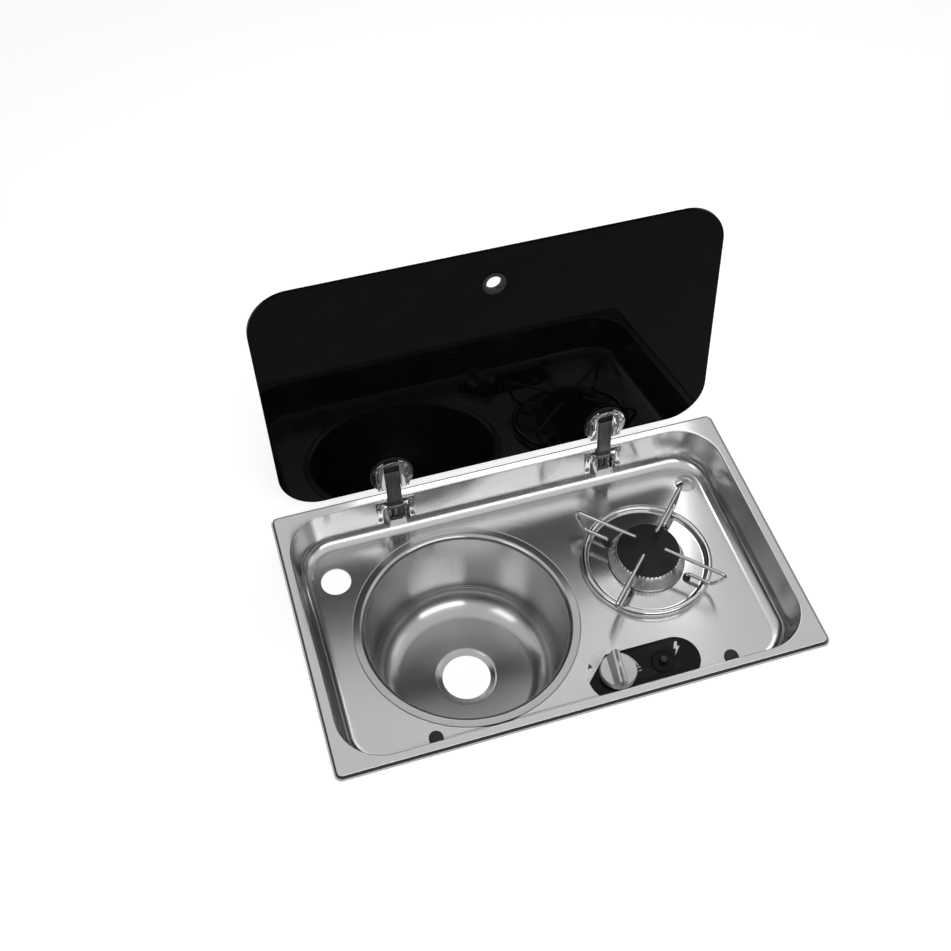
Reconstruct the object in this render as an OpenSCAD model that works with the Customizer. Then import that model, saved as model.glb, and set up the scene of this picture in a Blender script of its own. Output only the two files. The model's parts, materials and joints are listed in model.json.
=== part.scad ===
// Drop-in hob and sink combination: a pressed steel tray with a round bowl, one gas burner with
// a wire pan support, a control panel and a glass lid on two lift-and-lean hinges.
// Millimetres, +X to the right, +Y to the hinged rear edge, +Z up. The origin is the centre of
// the underside of the outer lip, the face that rests on the worktop. The lid is drawn open.

/* [Tray] */
// Overall width of the outer lip
tray_w = 560; // [550:1:600]
// Overall depth of the outer lip
tray_d = 340; // [336:1:370]
// Corner radius of the outer lip
lip_corner_r = 9; // [6:1:14]
// Width of the flat lip outside the step
lip_w = 3.5; // [3:0.5:5]
// Thickness of the pressed sheet
sheet = 0.8; // [0.6:0.1:1]
// Height of the flange above the lip
flange_rise = 4; // [3:0.5:5]
// Distance from the outer edge to the recess at each side
flange_side_w = 14; // [12:0.5:18]
// Distance from the outer edge to the recess at front and rear
flange_end_w = 13; // [12:0.5:14]
// Corner radius of the recess at the flange
recess_corner_r = 52; // [46:1:58]
// Depth of the tray floor below the worktop
recess_depth = 46; // [44:1:50]
// Lean of the recess walls, which is also the lean of the open lid, in degrees
lean = 9.1; // [8:0.1:10]
// Radius of the bend between wall and floor
floor_bend_r = 16; // [12:1:18]

/* [Bowl] */
// Bowl centre, to the left of the middle
bowl_x = -90; // [-95:1:-88]
// Bowl centre, towards the rear
bowl_y = -3; // [-6:1:0]
// Distance from the recess's front and rear edges to the circle of the bowl's rim
bowl_margin = 26.3; // [26:0.1:29]
// Width of the bowl's rim and roll, measured inward
bowl_rim_w = 12.7; // [12:0.1:15]
// Radius of the rolled rim
bowl_roll_r = 6; // [4:0.5:7]
// Draft of the bowl's wall, in degrees
bowl_draft = 3; // [2:0.5:5]
// Radius of the bend at the bowl's foot
bowl_foot_r = 34; // [26:1:38]
// Depth of the drain seat below the tray floor
bowl_depth = 137; // [125:1:145]
// Fall of the bowl's bottom towards the drain, in degrees
bowl_fall = 2; // [1:0.5:3]
// Radius of the recessed seat round the drain
drain_seat_r = 37; // [35:0.5:39]
// Radius of the drain hole
drain_r = 30; // [29:0.5:31]
// Step down of the drain seat
drain_step = 2; // [1.5:0.5:3]

/* [Tap hole] */
// Radius of the tap hole
tap_hole_r = 17.5; // [16:0.5:18]
// Distance of the tap hole's centre from the recess's left edge
tap_side_w = 44; // [42:1:48]
// Distance of the tap hole's centre from the recess's rear edge
tap_end_w = 63; // [61:1:69]

/* [Burner] */
// Burner centre, to the right of the middle
burner_x = 139; // [136:1:142]
// Burner centre, towards the rear
burner_y = 15.5; // [12:0.5:18]
// Height of the burner dish's flat above the tray floor
dish_h = 4; // [3:0.5:5]
// Outer radius of the dish's bead
dish_r = 78.4; // [75:0.1:79]
// Half the width of the bead
bead_r = 4; // [3:0.5:4.5]
// Height of the bead above the dish's flat
bead_h = 6.2; // [5:0.1:7]
// Radius of the burner crown at its foot
crown_foot_r = 45.5; // [43:0.5:47]
// Radius of the burner crown at its slotted rim
crown_top_r = 38; // [37:0.5:40]
// Height of the burner crown
crown_h = 20.6; // [18:0.2:22]
// Number of flame slots
slot_count = 48; // [24:1:50]
// Width of a flame slot
slot_w = 1.6; // [1.2:0.1:1.8]
// Depth of a flame slot
slot_h = 4; // [2:0.5:4]
// Radius of the burner cap
cap_r = 37.3; // [36:0.1:39]
// Thickness of the burner cap at its edge
cap_h = 2; // [1.5:0.5:3]

/* [Pan support] */
// Radius of the support wire
wire_r = 2.2; // [1.8:0.1:2.4]
// Drop from the upper to the lower arm of a finger
finger_drop = 28; // [26:0.5:29]
// Distance of a finger's tip from the burner axis
finger_tip_r = 16.5; // [15:0.5:20]
// Distance of a finger's outer bend from the burner axis
finger_reach = 94.5; // [92:0.5:96]
// Distance of the rubber foot from the burner axis
foot_ring_r = 52; // [51:0.5:54]
// Radius of a rubber foot
foot_r = 4.5; // [4:0.1:5]

/* [Controls] */
// Radius of the panel's round ends
panel_r = 27.5; // [26:0.5:29]
// Centre of the panel's left end, which is the knob's axis
knob_x = 53; // [50:1:54]
// Centre of the panel's right end
panel_right_x = 124.5; // [122:0.5:126]
// Distance of the panel's centre line from the recess's front edge
panel_end_w = 41; // [39:1:42]
// Radius of the knob
knob_r = 21; // [20:0.5:22]
// Height of the knob's top above the tray floor
knob_h = 22; // [20:0.5:24]
// Knob travel when it is pushed in
push_travel = 3; // [2:0.5:3]
// Angle of the knob's grip from +X when off, in degrees
knob_off_angle = 82; // [75:1:90]
// Igniter button centre, to the right of the middle
button_x = 108; // [105:1:110]
// Radius of the igniter button
button_r = 4.5; // [4:0.5:6]
// Travel of the igniter button
button_travel = 2.5; // [2:0.5:3]

/* [Gas line] */
// Radius of the gas pipe
pipe_r = 4; // [3:0.5:5]
// Wall of the gas pipe
pipe_wall = 1; // [0.8:0.1:1.2]
// Radius of the pipe's bends
pipe_bend_r = 15; // [12:1:18]
// Where the inlet pipe ends, towards the rear
inlet_end_y = 100; // [60:5:110]

/* [Hinges] */
// Distance of each hinge from the middle
hinge_x = 132; // [128:1:136]
// Distance of the hinge pivot ahead of the recess's rear edge
pivot_in = 6; // [5.5:0.1:6.5]
// Radius of the hinge pin
pin_r = 1.5; // [1.4:0.1:1.6]
// Width of the hinge arm
arm_w = 17.4; // [16:0.2:18]
// Thickness of the hinge arm
arm_t = 2.5; // [2:0.1:2.6]
// Length of the arm past the lid's lower edge
arm_reach = 23.5; // [21:0.5:24]
// Radius of the lid clamp
clamp_r = 25; // [24:0.5:26]

/* [Lid] */
// Distance from the closed lid to the recess's edge at each side
lid_side_gap = 5; // [4:0.5:7]
// Distance from the closed lid to the recess's edge at the front
lid_front_gap = 2; // [2:0.5:4]
// Thickness of the glass
lid_t = 5; // [4:0.5:5]
// Corner radius of the glass
lid_corner_r = 47; // [44:1:52]
// Distance of the closed lid's rear edge ahead of the pivot
closed_gap = 11; // [10.5:0.5:11.5]
// Height of the open lid's lower edge above the worktop
open_edge_z = 24.8; // [24:0.1:26]
// Distance of the finger hole above the lid's lower edge
finger_hole_v = 254.5; // [250:0.5:258]
// Radius of the lid's finger hole in the glass
finger_hole_r = 11; // [10:0.5:12]

/* [Fits] */
// Radial clearance of a turning or sliding fit
run_fit = 0.05; // [0.03:0.01:0.08]
// Gap between pieces that move past each other
pass_gap = 0.4; // [0.3:0.05:0.5]
// Gap under the closed lid at its front rests
rest_gap = 0.35; // [0.3:0.05:0.5]

/* [Hidden] */
$fn = 64;

big = 1000;
ball_over = 0.05;
lap = 0.02;
floor_z = -recess_depth;
flange_z = sheet + flange_rise;
open_x = tray_w / 2 - flange_side_w;
open_y = tray_d / 2 - flange_end_w;
bowl_rim_r = open_y - bowl_margin;
bowl_mouth_r = bowl_rim_r - bowl_rim_w;
tap_x = tap_side_w - open_x;
tap_y = open_y - tap_end_w;
panel_y = panel_end_w - open_y;
pivot_y = open_y - pivot_in;
lid_w = 2 * (open_x - lid_side_gap);
lid_d = pivot_y - closed_gap + open_y - lid_front_gap;

// Recess wall: it leans by `lean` and runs tangent into the floor bend
wall_len = (flange_z - floor_z - floor_bend_r * (1 - sin(lean))) / cos(lean);
bend_in = wall_len * sin(lean) + floor_bend_r * cos(lean);
bend_z = floor_z + floor_bend_r;
floor_corner_r = recess_corner_r - bend_in;

// Bowl wall and bottom: the centre of the foot bend is tangent to both
rim_top_z = floor_z + 0.3;
roll_z = rim_top_z - bowl_roll_r;
seat_z = floor_z - bowl_depth;
bottom_edge_z = seat_z + drain_step;
foot_x = (bowl_mouth_r - roll_z * tan(bowl_draft) - bowl_foot_r / cos(bowl_draft)
          + tan(bowl_draft) * (bottom_edge_z - drain_seat_r * tan(bowl_fall)
                               + bowl_foot_r / cos(bowl_fall)))
         / (1 - tan(bowl_draft) * tan(bowl_fall));
foot_z = bottom_edge_z + (foot_x - drain_seat_r) * tan(bowl_fall) + bowl_foot_r / cos(bowl_fall);
// The ledge under the rim stops short of the roll
ledge_w = bowl_rim_w - bowl_roll_r / cos(bowl_draft) - 0.2;
hole_gap = 0.2;

// Burner stack heights
dish_z = floor_z + dish_h;
bead_z = dish_z + bead_h;
crown_z = dish_z + crown_h;
cap_z = crown_z + cap_h;
cup_r = 34;
cup_bore_r = 30;
cup_z = floor_z - 40;
dish_hole_r = 42;
tube_z = floor_z - 26;
tube_r = 10;
skirt_gap = 2.6;
cup_lining = 6;
probe_tip_z = crown_z - 8.4;

// Pan support: the lower arm lies on the bead and the upper arm carries the pan
lower_z = bead_z + wire_r;
upper_z = lower_z + finger_drop;
finger_angles = [45, 135, 225, 315];
foot_neck_r = 3.2;
foot_h = 4;

// Controls
panel_t = 0.6;
panel_z = floor_z + panel_t;
panel_left_r = panel_r + 6.5;
spindle_r = 3;
neck_r = 6.5;
nut_h = 3.5;
knob_z = panel_z + 4.2;
valve_z = floor_z - sheet;
valve_h = 36;
igniter_r = 8.5;
igniter_len = 21;

// Hinge frame: u runs up along the open lid, v towards the rear, square to the glass
glass_v = pivot_glass_gap();
pivot_z = lid_closed_z() - glass_v;
open_edge_u = edge_u();
wall_v = (open_y - (flange_z - pivot_z) * tan(lean) - pivot_y) * cos(lean);
slide = open_edge_u - closed_gap;
close_angle = 90 + lean;
plate_t = 1.2;
pad_t = 1.2;
arm_v = glass_v - pad_t - 0.3 - arm_t;
eye_r = 2.8;
clamp_u = open_edge_u + 18;
clamp_t = 3.2;
bracket_w = 47;
bracket_low = -27;
bracket_top = 7.5;
pocket_w = arm_w + 2 * pass_gap;

// Height of the closed lid's underside: its top lies flush with the flange
function lid_closed_z() = sheet + flange_rise - lid_t;
// Height and place of the open lid's lower edge, just behind the line of the rear wall
function open_edge_y() = open_y + (open_edge_z - flange_z) * tan(lean) + 0.8;
// Distance of the pivot from the glass, which is the same with the lid open and closed
function pivot_glass_gap() =
    ((open_edge_y() - pivot_y) * cos(lean) - (open_edge_z - lid_closed_z()) * sin(lean))
    / (1 + sin(lean));
// Distance along the open lid from the pivot to the lid's lower edge
function edge_u() = (open_edge_y() - pivot_y) * sin(lean)
                    + (open_edge_z - lid_closed_z() + pivot_glass_gap()) * cos(lean);

// Rectangle with round corners, centred
module rounded_rect(w, d, r) {
    square([w - 2 * r, d], center = true);
    square([w, d - 2 * r], center = true);
    for (sx = [-1, 1], sy = [-1, 1])
        translate([sx * (w / 2 - r), sy * (d / 2 - r)]) circle(r);
}

// Part of a ring between two angles less than 120 degrees apart
module ring_sector(c, r_in, r_out, a0, a1) {
    far = 2.2 * r_out;
    mid = (a0 + a1) / 2;
    intersection() {
        translate(c) difference() {
            circle(r_out);
            circle(r_in);
        }
        polygon([c, c + far * [cos(a0), sin(a0)], c + far * [cos(mid), sin(mid)],
                 c + far * [cos(a1), sin(a1)]]);
    }
}

// Round bar between two points
module bar(a, b, r) {
    d = b - a;
    len = norm(d);
    translate(a) rotate([0, acos(d[2] / len), atan2(d[1], d[0])]) cylinder(r = r, h = len);
}

// Wire through a list of points, with ball corners a little larger than the wire
module ball_wire(points, r) {
    for (i = [0 : len(points) - 2]) bar(points[i], points[i + 1], r);
    for (i = [1 : len(points) - 2]) translate(points[i]) sphere(r + ball_over);
}

// Six-sided nut or head, measured across its flats
module hexagon(flats, h) {
    cylinder(r = flats / 2 / cos(30), h = h, $fn = 6);
}

// Section of the recess wall, d outward from the opening's edge
module wall_section() {
    c = [-bend_in, bend_z];
    side = [cos(lean), -sin(lean)];
    polygon([[0, flange_z], [sheet / cos(lean), flange_z],
             c + (floor_bend_r + sheet) * side, c + floor_bend_r * side]);
    ring_sector(c, floor_bend_r, floor_bend_r + sheet, -90, -lean);
}

// Straight run of recess wall of a given length, facing +X
module wall_run(len) {
    translate([0, len / 2, 0]) rotate([90, 0, 0]) linear_extrude(len) wall_section();
}

// Pressed tray: lip, step, flange, leaning walls, floor and its holes
module tray() {
    color("silver") difference() {
        union() {
            linear_extrude(sheet) difference() {
                rounded_rect(tray_w, tray_d, lip_corner_r);
                inset_rect(lip_w + sheet);
            }
            linear_extrude(flange_z) difference() {
                inset_rect(lip_w);
                inset_rect(lip_w + sheet);
            }
            translate([0, 0, flange_z - sheet]) linear_extrude(sheet) difference() {
                inset_rect(lip_w);
                rounded_rect(2 * open_x, 2 * open_y, recess_corner_r);
            }
            for (s = [0, 180]) rotate([0, 0, s])
                translate([open_x, 0, 0]) wall_run(2 * (open_y - recess_corner_r));
            for (s = [90, 270]) rotate([0, 0, s])
                translate([open_y, 0, 0]) wall_run(2 * (open_x - recess_corner_r));
            for (sx = [-1, 1], sy = [-1, 1])
                translate([sx * (open_x - recess_corner_r), sy * (open_y - recess_corner_r), 0])
                    rotate([0, 0, sx > 0 ? (sy > 0 ? 0 : 270) : (sy > 0 ? 90 : 180)])
                        rotate_extrude(angle = 90) translate([recess_corner_r, 0]) wall_section();
            translate([0, 0, floor_z - sheet]) linear_extrude(sheet) difference() {
                rounded_rect(2 * (open_x - bend_in), 2 * (open_y - bend_in), floor_corner_r);
                translate([bowl_x, bowl_y]) circle(bowl_rim_r + hole_gap);
                translate([burner_x, burner_y]) circle(dish_hole_r);
                translate([tap_x, tap_y]) circle(tap_hole_r);
                translate([knob_x, panel_y]) circle(neck_r);
                translate([button_x, panel_y]) circle(igniter_r);
            }
            translate([bowl_x, bowl_y, 0]) rotate_extrude() {
                translate([bowl_rim_r + hole_gap, floor_z - 2 * sheet]) square([sheet, 2 * sheet]);
                translate([bowl_rim_r - ledge_w, floor_z - 2 * sheet + 0.3])
                    square([ledge_w + hole_gap + sheet, sheet]);
            }
        }
        for (s = [-1, 1]) translate([s * rest_x - rest_w / 2, -open_y - 4, rest_top_z - rest_t])
            cube([rest_w, 12, rest_t]);
        retaining_axis() cylinder(r = 2.3, h = 8, center = true);
        hinge_frames() bracket_screw_places() cylinder(r = 1.5, h = 8, center = true);
    }
}

// Outline of the tray set in from its outer edge
module inset_rect(inset) {
    rounded_rect(tray_w - 2 * inset, tray_d - 2 * inset, lip_corner_r - inset * 0.9);
}

// Deep-drawn bowl with a rolled rim, a bent foot and a stepped drain seat
module bowl() {
    roll_c = [bowl_mouth_r + bowl_roll_r / cos(bowl_draft), roll_z];
    wall_side = [-cos(bowl_draft), sin(bowl_draft)];
    foot_c = [foot_x, foot_z];
    foot_side = [cos(bowl_draft), -sin(bowl_draft)];
    fall_side = [sin(bowl_fall), -cos(bowl_fall)];
    along = [sin(bowl_draft), cos(bowl_draft)];
    outward = lap * [cos(bowl_fall), sin(bowl_fall)];
    color("silver") translate([bowl_x, bowl_y, 0]) {
        rotate_extrude() translate([roll_c[0] - lap, rim_top_z - sheet])
            square([bowl_rim_r - roll_c[0] + lap, sheet]);
        rotate_extrude() ring_sector(roll_c, bowl_roll_r - sheet, bowl_roll_r,
                                     90, 180 - bowl_draft);
        rotate_extrude() polygon([roll_c + bowl_roll_r * wall_side + lap * along,
                                  foot_c + bowl_foot_r * foot_side - lap * along,
                                  foot_c + (bowl_foot_r + sheet) * foot_side - lap * along,
                                  roll_c + (bowl_roll_r - sheet) * wall_side + lap * along]);
        rotate_extrude() ring_sector(foot_c, bowl_foot_r, bowl_foot_r + sheet,
                                     -90 + bowl_fall, -bowl_draft);
        rotate_extrude() polygon([foot_c + bowl_foot_r * fall_side + outward,
                                  foot_c + (bowl_foot_r + sheet) * fall_side + outward,
                                  [drain_seat_r - sheet, bottom_edge_z - sheet],
                                  [drain_seat_r - sheet, bottom_edge_z]]);
        rotate_extrude() translate([drain_seat_r - sheet, seat_z - sheet])
            square([sheet, drain_step + sheet]);
        rotate_extrude() translate([drain_r, seat_z - sheet])
            square([drain_seat_r - drain_r, sheet]);
    }
}

rest_x = 168;
rest_w = 15.5;
rest_t = 4;
rest_reach = 14.5;
rest_top_z = lid_closed_z() - rest_gap;

// Rubber rests for the front of the closed lid, plugged through slits in the front wall
module lid_rests() {
    color("#18181a") for (s = [-1, 1]) translate([s * rest_x, -open_y, rest_top_z - rest_t]) {
        linear_extrude(rest_t) {
            translate([-rest_w / 2, -3]) square([rest_w, rest_reach + 3 - rest_w / 2]);
            translate([0, rest_reach - rest_w / 2]) circle(rest_w / 2);
        }
        translate([-rest_w / 2 - 1.5, -4, -1.5]) cube([rest_w + 3, 2.9, rest_t + 3]);
    }
}

// Places things on the burner's axis
module at_burner() {
    translate([burner_x, burner_y, 0]) children();
}

// Polished dish round the burner, with a raised bead that carries the pan support
module burner_dish() {
    t = 0.8;
    c = [dish_r - bead_r, bead_z - bead_r];
    color("gainsboro") at_burner() difference() {
        rotate_extrude() {
            ring_sector(c, bead_r - t, bead_r, 0, 90);
            ring_sector(c, bead_r - t, bead_r, 90, 180);
            translate([dish_r - t, floor_z]) square([t, c[1] - floor_z]);
            translate([c[0] - bead_r, dish_z - t]) square([t, c[1] - dish_z + t]);
            translate([crown_foot_r - 3, dish_z - t])
                square([c[0] - bead_r - crown_foot_r + 3, t]);
        }
        for (a = finger_angles) rotate([0, 0, a])
            translate([foot_ring_r, 0, dish_z]) cylinder(r = foot_neck_r, h = 4, center = true);
    }
}

// Cast cup that hangs below the tray and takes the gas mixture
module burner_cup() {
    color("#8d8f92") at_burner() difference() {
        union() {
            translate([0, 0, cup_z]) cylinder(r = cup_r, h = dish_z - 0.8 - cup_z);
            translate([0, 0, cup_flange_z]) cylinder(r = cup_r + 8, h = 3);
            translate([0, -cup_r + 6, tube_z]) rotate([90, 0, 0])
                cylinder(r = tube_r + 3, h = 10);
        }
        translate([0, 0, cup_z + 3]) cylinder(r = cup_bore_r, h = big);
        translate([0, 0, tube_z]) rotate([90, 0, 0]) cylinder(r = tube_r, h = cup_r + 20);
        for (a = probe_angles) rotate([0, 0, a])
            translate([probe_ring_r, 0, floor_z - 10]) cylinder(r = probe_r + run_fit, h = 20);
    }
}

probe_angles = [75, 105];
probe_ring_r = 38;
probe_r = 2.6;
cup_flange_z = floor_z - sheet - 4;

// Steel strap under the tray that carries the cup and runs to the retaining screw
module burner_carrier() {
    d = [retaining_x - burner_x, retaining_y - burner_y];
    color("#a9acb0") translate([0, 0, floor_z - sheet - 1]) linear_extrude(1) difference() {
        union() {
            translate([burner_x, burner_y]) {
                circle(cup_r + 16);
                rotate([0, 0, atan2(d[1], d[0])]) translate([0, -12]) square([norm(d), 24]);
            }
            translate([retaining_x, retaining_y]) circle(14);
        }
        translate([burner_x, burner_y]) {
            circle(cup_r);
            for (a = probe_angles) rotate([0, 0, a]) translate([probe_ring_r, 0]) circle(3);
        }
        translate([retaining_x, retaining_y]) circle(2.3);
    }
}

retaining_x = open_x - 36.5;
retaining_y = open_y - 47.5;

module retaining_axis() {
    translate([retaining_x, retaining_y, floor_z]) children();
}

// Aluminium crown with flame slots round its rim
module burner_crown() {
    inner_r = crown_top_r - 5;
    skirt_z = dish_z + skirt_gap;
    color("#c3c5c7") at_burner() difference() {
        rotate_extrude() difference() {
            polygon([[0, dish_z], [crown_foot_r - 1.6, dish_z], [crown_foot_r - 1.6, skirt_z],
                     [crown_foot_r, skirt_z], [crown_foot_r, skirt_z + 1.4],
                     [crown_foot_r - 0.6, skirt_z + 2.2], [crown_top_r, crown_z - slot_h - 0.6],
                     [crown_top_r, crown_z], [0, crown_z]]);
            polygon([[0, dish_z - 1], [crown_foot_r - 4, dish_z - 1],
                     [inner_r + 1, dish_z + 8], [cup_bore_r - cup_lining, dish_z + 8],
                     [cup_bore_r - cup_lining, crown_z - 5], [inner_r, crown_z - 5],
                     [inner_r, crown_z + 1], [0, crown_z + 1]]);
        }
        for (i = [0 : slot_count - 1]) rotate([0, 0, (i + 0.5) * 360 / slot_count])
            translate([inner_r - 2, -slot_w / 2, crown_z - slot_h]) cube([20, slot_w, slot_h + 1]);
        for (a = probe_angles) rotate([0, 0, a]) translate([probe_ring_r, 0, dish_z - 1])
            cylinder(r = 3.4, h = crown_h);
    }
    color("#c3c5c7") at_burner() translate([0, 0, floor_z - 10]) difference() {
        cylinder(r = cup_bore_r - run_fit, h = dish_h + 18.5);
        translate([0, 0, -1]) cylinder(r = cup_bore_r - cup_lining, h = big);
    }
}

// Enamelled cap that closes the crown
module burner_cap() {
    dome_h = 1;
    dome_r = (cap_r * cap_r + dome_h * dome_h) / (2 * dome_h);
    color("#141415") at_burner() {
        translate([0, 0, crown_z]) cylinder(r = cap_r, h = cap_h - dome_h);
        rotate_extrude() intersection() {
            translate([0, cap_z - dome_r]) circle(dome_r, $fn = 1440);
            translate([0, cap_z - dome_h]) square([cap_r, dome_h + 1]);
        }
        translate([0, 0, crown_z - 3]) cylinder(r = crown_top_r - 5.3, h = 3);
        translate([0, cap_r * 0.44, cap_z - 1]) cylinder(r = 1.4, h = 1.3);
    }
}

// Venturi tube from the injector to the cup, with two air windows
module mixing_tube() {
    near = burner_y - cup_r + 6 - 10;
    far = near - 42;
    color("#9a9da1") difference() {
        union() {
            translate([burner_x, near + 9, tube_z]) rotate([90, 0, 0])
                cylinder(r = tube_r, h = near + 9 - far);
            translate([burner_x, near, tube_z]) rotate([90, 0, 0])
                cylinder(r = tube_r + 2, h = 4);
        }
        translate([burner_x, near + 10, tube_z]) rotate([90, 0, 0])
            cylinder(r = tube_r - 2, h = big);
        translate([burner_x - tube_r - 2, far + 14, tube_z - 5])
            cube([2 * tube_r + 4, 12, 10]);
    }
}

tube_end_y = burner_y - cup_r + 6 - 10 - 42;

// Brass injector that closes the mixing tube
module gas_injector() {
    color("#b98d3c") translate([burner_x, tube_end_y, tube_z]) rotate([90, 0, 0]) difference() {
        union() {
            translate([0, 0, -12]) cylinder(r = 4, h = 12);
            translate([0, 0, -9]) cylinder(r = tube_r - 2, h = 9);
            hexagon(17, 7);
        }
        translate([0, 0, -13]) cylinder(r = 0.6, h = 30);
        translate([0, 0, -2]) cylinder(r = pipe_r, h = 10);
    }
}

// Ceramic ignition electrode with its wire tip
module ignition_electrode() {
    color("ivory") at_probe(0) {
        translate([0, 0, floor_z - 26]) cylinder(r = probe_r, h = probe_tip_z - floor_z + 26);
        translate([0, 0, cup_flange_z - 4]) cylinder(r = probe_r + 1.2, h = 4);
    }
    color("gray") at_probe(0) translate([0, 0, probe_tip_z]) cylinder(r = 0.8, h = 3);
}

// Thermocouple that holds the gas valve open while it is hot
module thermocouple() {
    color("#b56b3c") at_probe(1) {
        translate([0, 0, floor_z - 26]) cylinder(r = probe_r, h = probe_tip_z - floor_z + 25);
        translate([0, 0, cup_flange_z - 4]) cylinder(r = probe_r + 1.2, h = 4);
        translate([0, 0, probe_tip_z - 1]) cylinder(r1 = probe_r, r2 = probe_r - 1.4, h = 3);
    }
}

module at_probe(i) {
    at_burner() rotate([0, 0, probe_angles[i]]) translate([probe_ring_r, 0, 0]) children();
}

// One finger: upper arm, outer bend, sloping shank, lower arm and the end turned into its foot
module finger() {
    turn_r = 5;
    shank_r = finger_reach - 12;
    end_turn_r = 3.5;
    translate([0, 0, upper_z]) {
        rotate([0, 90, 0]) translate([0, 0, finger_tip_r + wire_r])
            cylinder(r = wire_r, h = finger_reach - turn_r - finger_tip_r - wire_r);
        translate([finger_tip_r + wire_r, 0, 0]) sphere(wire_r);
        translate([finger_reach - turn_r, 0, -turn_r]) rotate([90, 0, 0])
            rotate_extrude(angle = 130, start = -40) translate([turn_r, 0]) circle(wire_r);
    }
    bend_end = [finger_reach - turn_r + turn_r * cos(-40), 0,
                upper_z - turn_r + turn_r * sin(-40)];
    shank_end = [shank_r, 0, lower_z];
    translate(bend_end) sphere(wire_r + ball_over);
    ball_wire([bend_end, shank_end, [foot_ring_r + end_turn_r, 0, lower_z]], wire_r);
    translate([foot_ring_r + end_turn_r, 0, lower_z - end_turn_r]) rotate([90, 0, 0])
        rotate_extrude(angle = 90, start = 90) translate([end_turn_r, 0]) circle(wire_r);
    translate([foot_ring_r, 0, dish_z - 2])
        cylinder(r = wire_r, h = lower_z - end_turn_r - dish_z + 2);
}

// Four wire fingers that carry the pan
module pan_fingers() {
    color("#d6d8da") at_burner() for (a = finger_angles) rotate([0, 0, a]) finger();
}

// Rubber feet: plugged into the dish, each bored for the turned end of a finger
module pan_feet() {
    color("#101011") at_burner() for (a = finger_angles) rotate([0, 0, a])
        translate([foot_ring_r, 0, dish_z]) difference() {
            union() {
                cylinder(r = foot_r, h = foot_h - 1);
                translate([0, 0, foot_h - 1]) cylinder(r1 = foot_r, r2 = foot_r - 0.8, h = 1);
                translate([0, 0, -0.8]) cylinder(r = foot_neck_r, h = 0.8);
                translate([0, 0, -2.2]) cylinder(r = foot_neck_r + 1, h = 1.4);
            }
            translate([0, 0, -3]) cylinder(r = wire_r, h = foot_h + 4);
        }
}

// Domed washer of the screw that ties the carrier strap to the tray
module retaining_washer() {
    washer_r = 12.8;
    color("#e2e3e4") retaining_axis() difference() {
        rotate_extrude() difference() {
            intersection() {
                translate([0, -washer_r * 1.9]) circle(washer_r * 2.15, $fn = 720);
                square([washer_r, 10]);
            }
            square([2.3, 10]);
        }
        translate([0, 0, 2.2]) cylinder(r = 6.2, h = 10);
    }
}

// Cross-head retaining screw with its nut below the strap
module retaining_screw() {
    color("#b9bcc0") retaining_axis() difference() {
        union() {
            translate([0, 0, 2.2]) cylinder(r = 5, h = 1.6);
            translate([0, 0, 3.8]) cylinder(r1 = 5, r2 = 3.2, h = 1);
            translate([0, 0, -12]) cylinder(r = 2.25, h = 15);
            translate([0, 0, -sheet - 1 - 3.2]) hexagon(7, 3.2);
        }
        for (a = [20, 110]) rotate([0, 0, a]) translate([-2.8, -0.55, 3.4]) cube([5.6, 1.1, 3]);
    }
}

// Panel outline: two round ends, the left one cut on the slant beside the knob's bare scale
module panel_outline() {
    difference() {
        union() {
            translate([knob_x, panel_y]) circle(panel_left_r);
            translate([panel_right_x, panel_y]) circle(panel_r);
            translate([knob_x, panel_y - panel_r])
                square([panel_right_x - knob_x, 2 * panel_r]);
        }
        translate([knob_x - 5, panel_y + panel_r]) rotate([0, 0, 44])
            translate([-60, 0]) square([60, 60]);
        translate([knob_x - 60, panel_y + panel_r]) square([120, 20]);
        translate([knob_x - 60, -open_y]) square([200, bend_in + 0.4]);
    }
}

// Black printed control panel
module control_panel() {
    color("#151516") translate([0, 0, floor_z]) linear_extrude(panel_t) difference() {
        panel_outline();
        translate([knob_x, panel_y]) circle(neck_r);
        translate([button_x, panel_y]) circle(igniter_r);
    }
}

// Places things on the knob's axis
module at_knob() {
    translate([knob_x, panel_y, 0]) children();
}

collar_bore_r = spindle_r + 2.2;
collar_z = valve_z - 10;
spring_z = valve_z - 24;
lead_port = 14;

// Brass gas valve, clamped through the panel by its threaded neck
module gas_valve() {
    color("#b3a06a") difference() {
        union() {
            at_knob() {
                translate([0, 0, valve_z - valve_h]) cylinder(r = 12, h = valve_h - 5);
                translate([0, 0, valve_z - 5]) cylinder(r = 14, h = 5);
                translate([0, 0, valve_z])
                    cylinder(r = neck_r - run_fit, h = sheet + panel_t + nut_h + 0.5);
                translate([0, 0, valve_z - valve_h - valve_foot_h]) hexagon(14, valve_foot_h);
            }
            translate([knob_x + 8, panel_y, tube_z]) rotate([0, 90, 0]) cylinder(r = 7, h = 14);
            translate([knob_x + 8, panel_y, tube_z]) rotate([0, 90, 0]) cylinder(r = 6, h = 18);
            translate([knob_x, panel_y + 8, tube_z]) rotate([-90, 0, 0])
                cylinder(r = 3, h = lead_port - 8);
        }
        at_knob() {
            translate([0, 0, spring_z - 6]) cylinder(r = collar_bore_r + run_fit, h = 60);
            translate([0, 0, valve_z - valve_h - 5]) cylinder(r = pipe_r, h = 12);
        }
        translate([knob_x + 16, panel_y, tube_z]) rotate([0, 90, 0]) cylinder(r = pipe_r, h = 11);
    }
}

// Nut that clamps the valve's neck on the panel, hidden by the knob
module valve_nut() {
    color("#8f9296") at_knob() translate([0, 0, panel_z]) difference() {
        hexagon(17, nut_h);
        translate([0, 0, -1]) cylinder(r = neck_r - run_fit, h = 10);
    }
}

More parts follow.
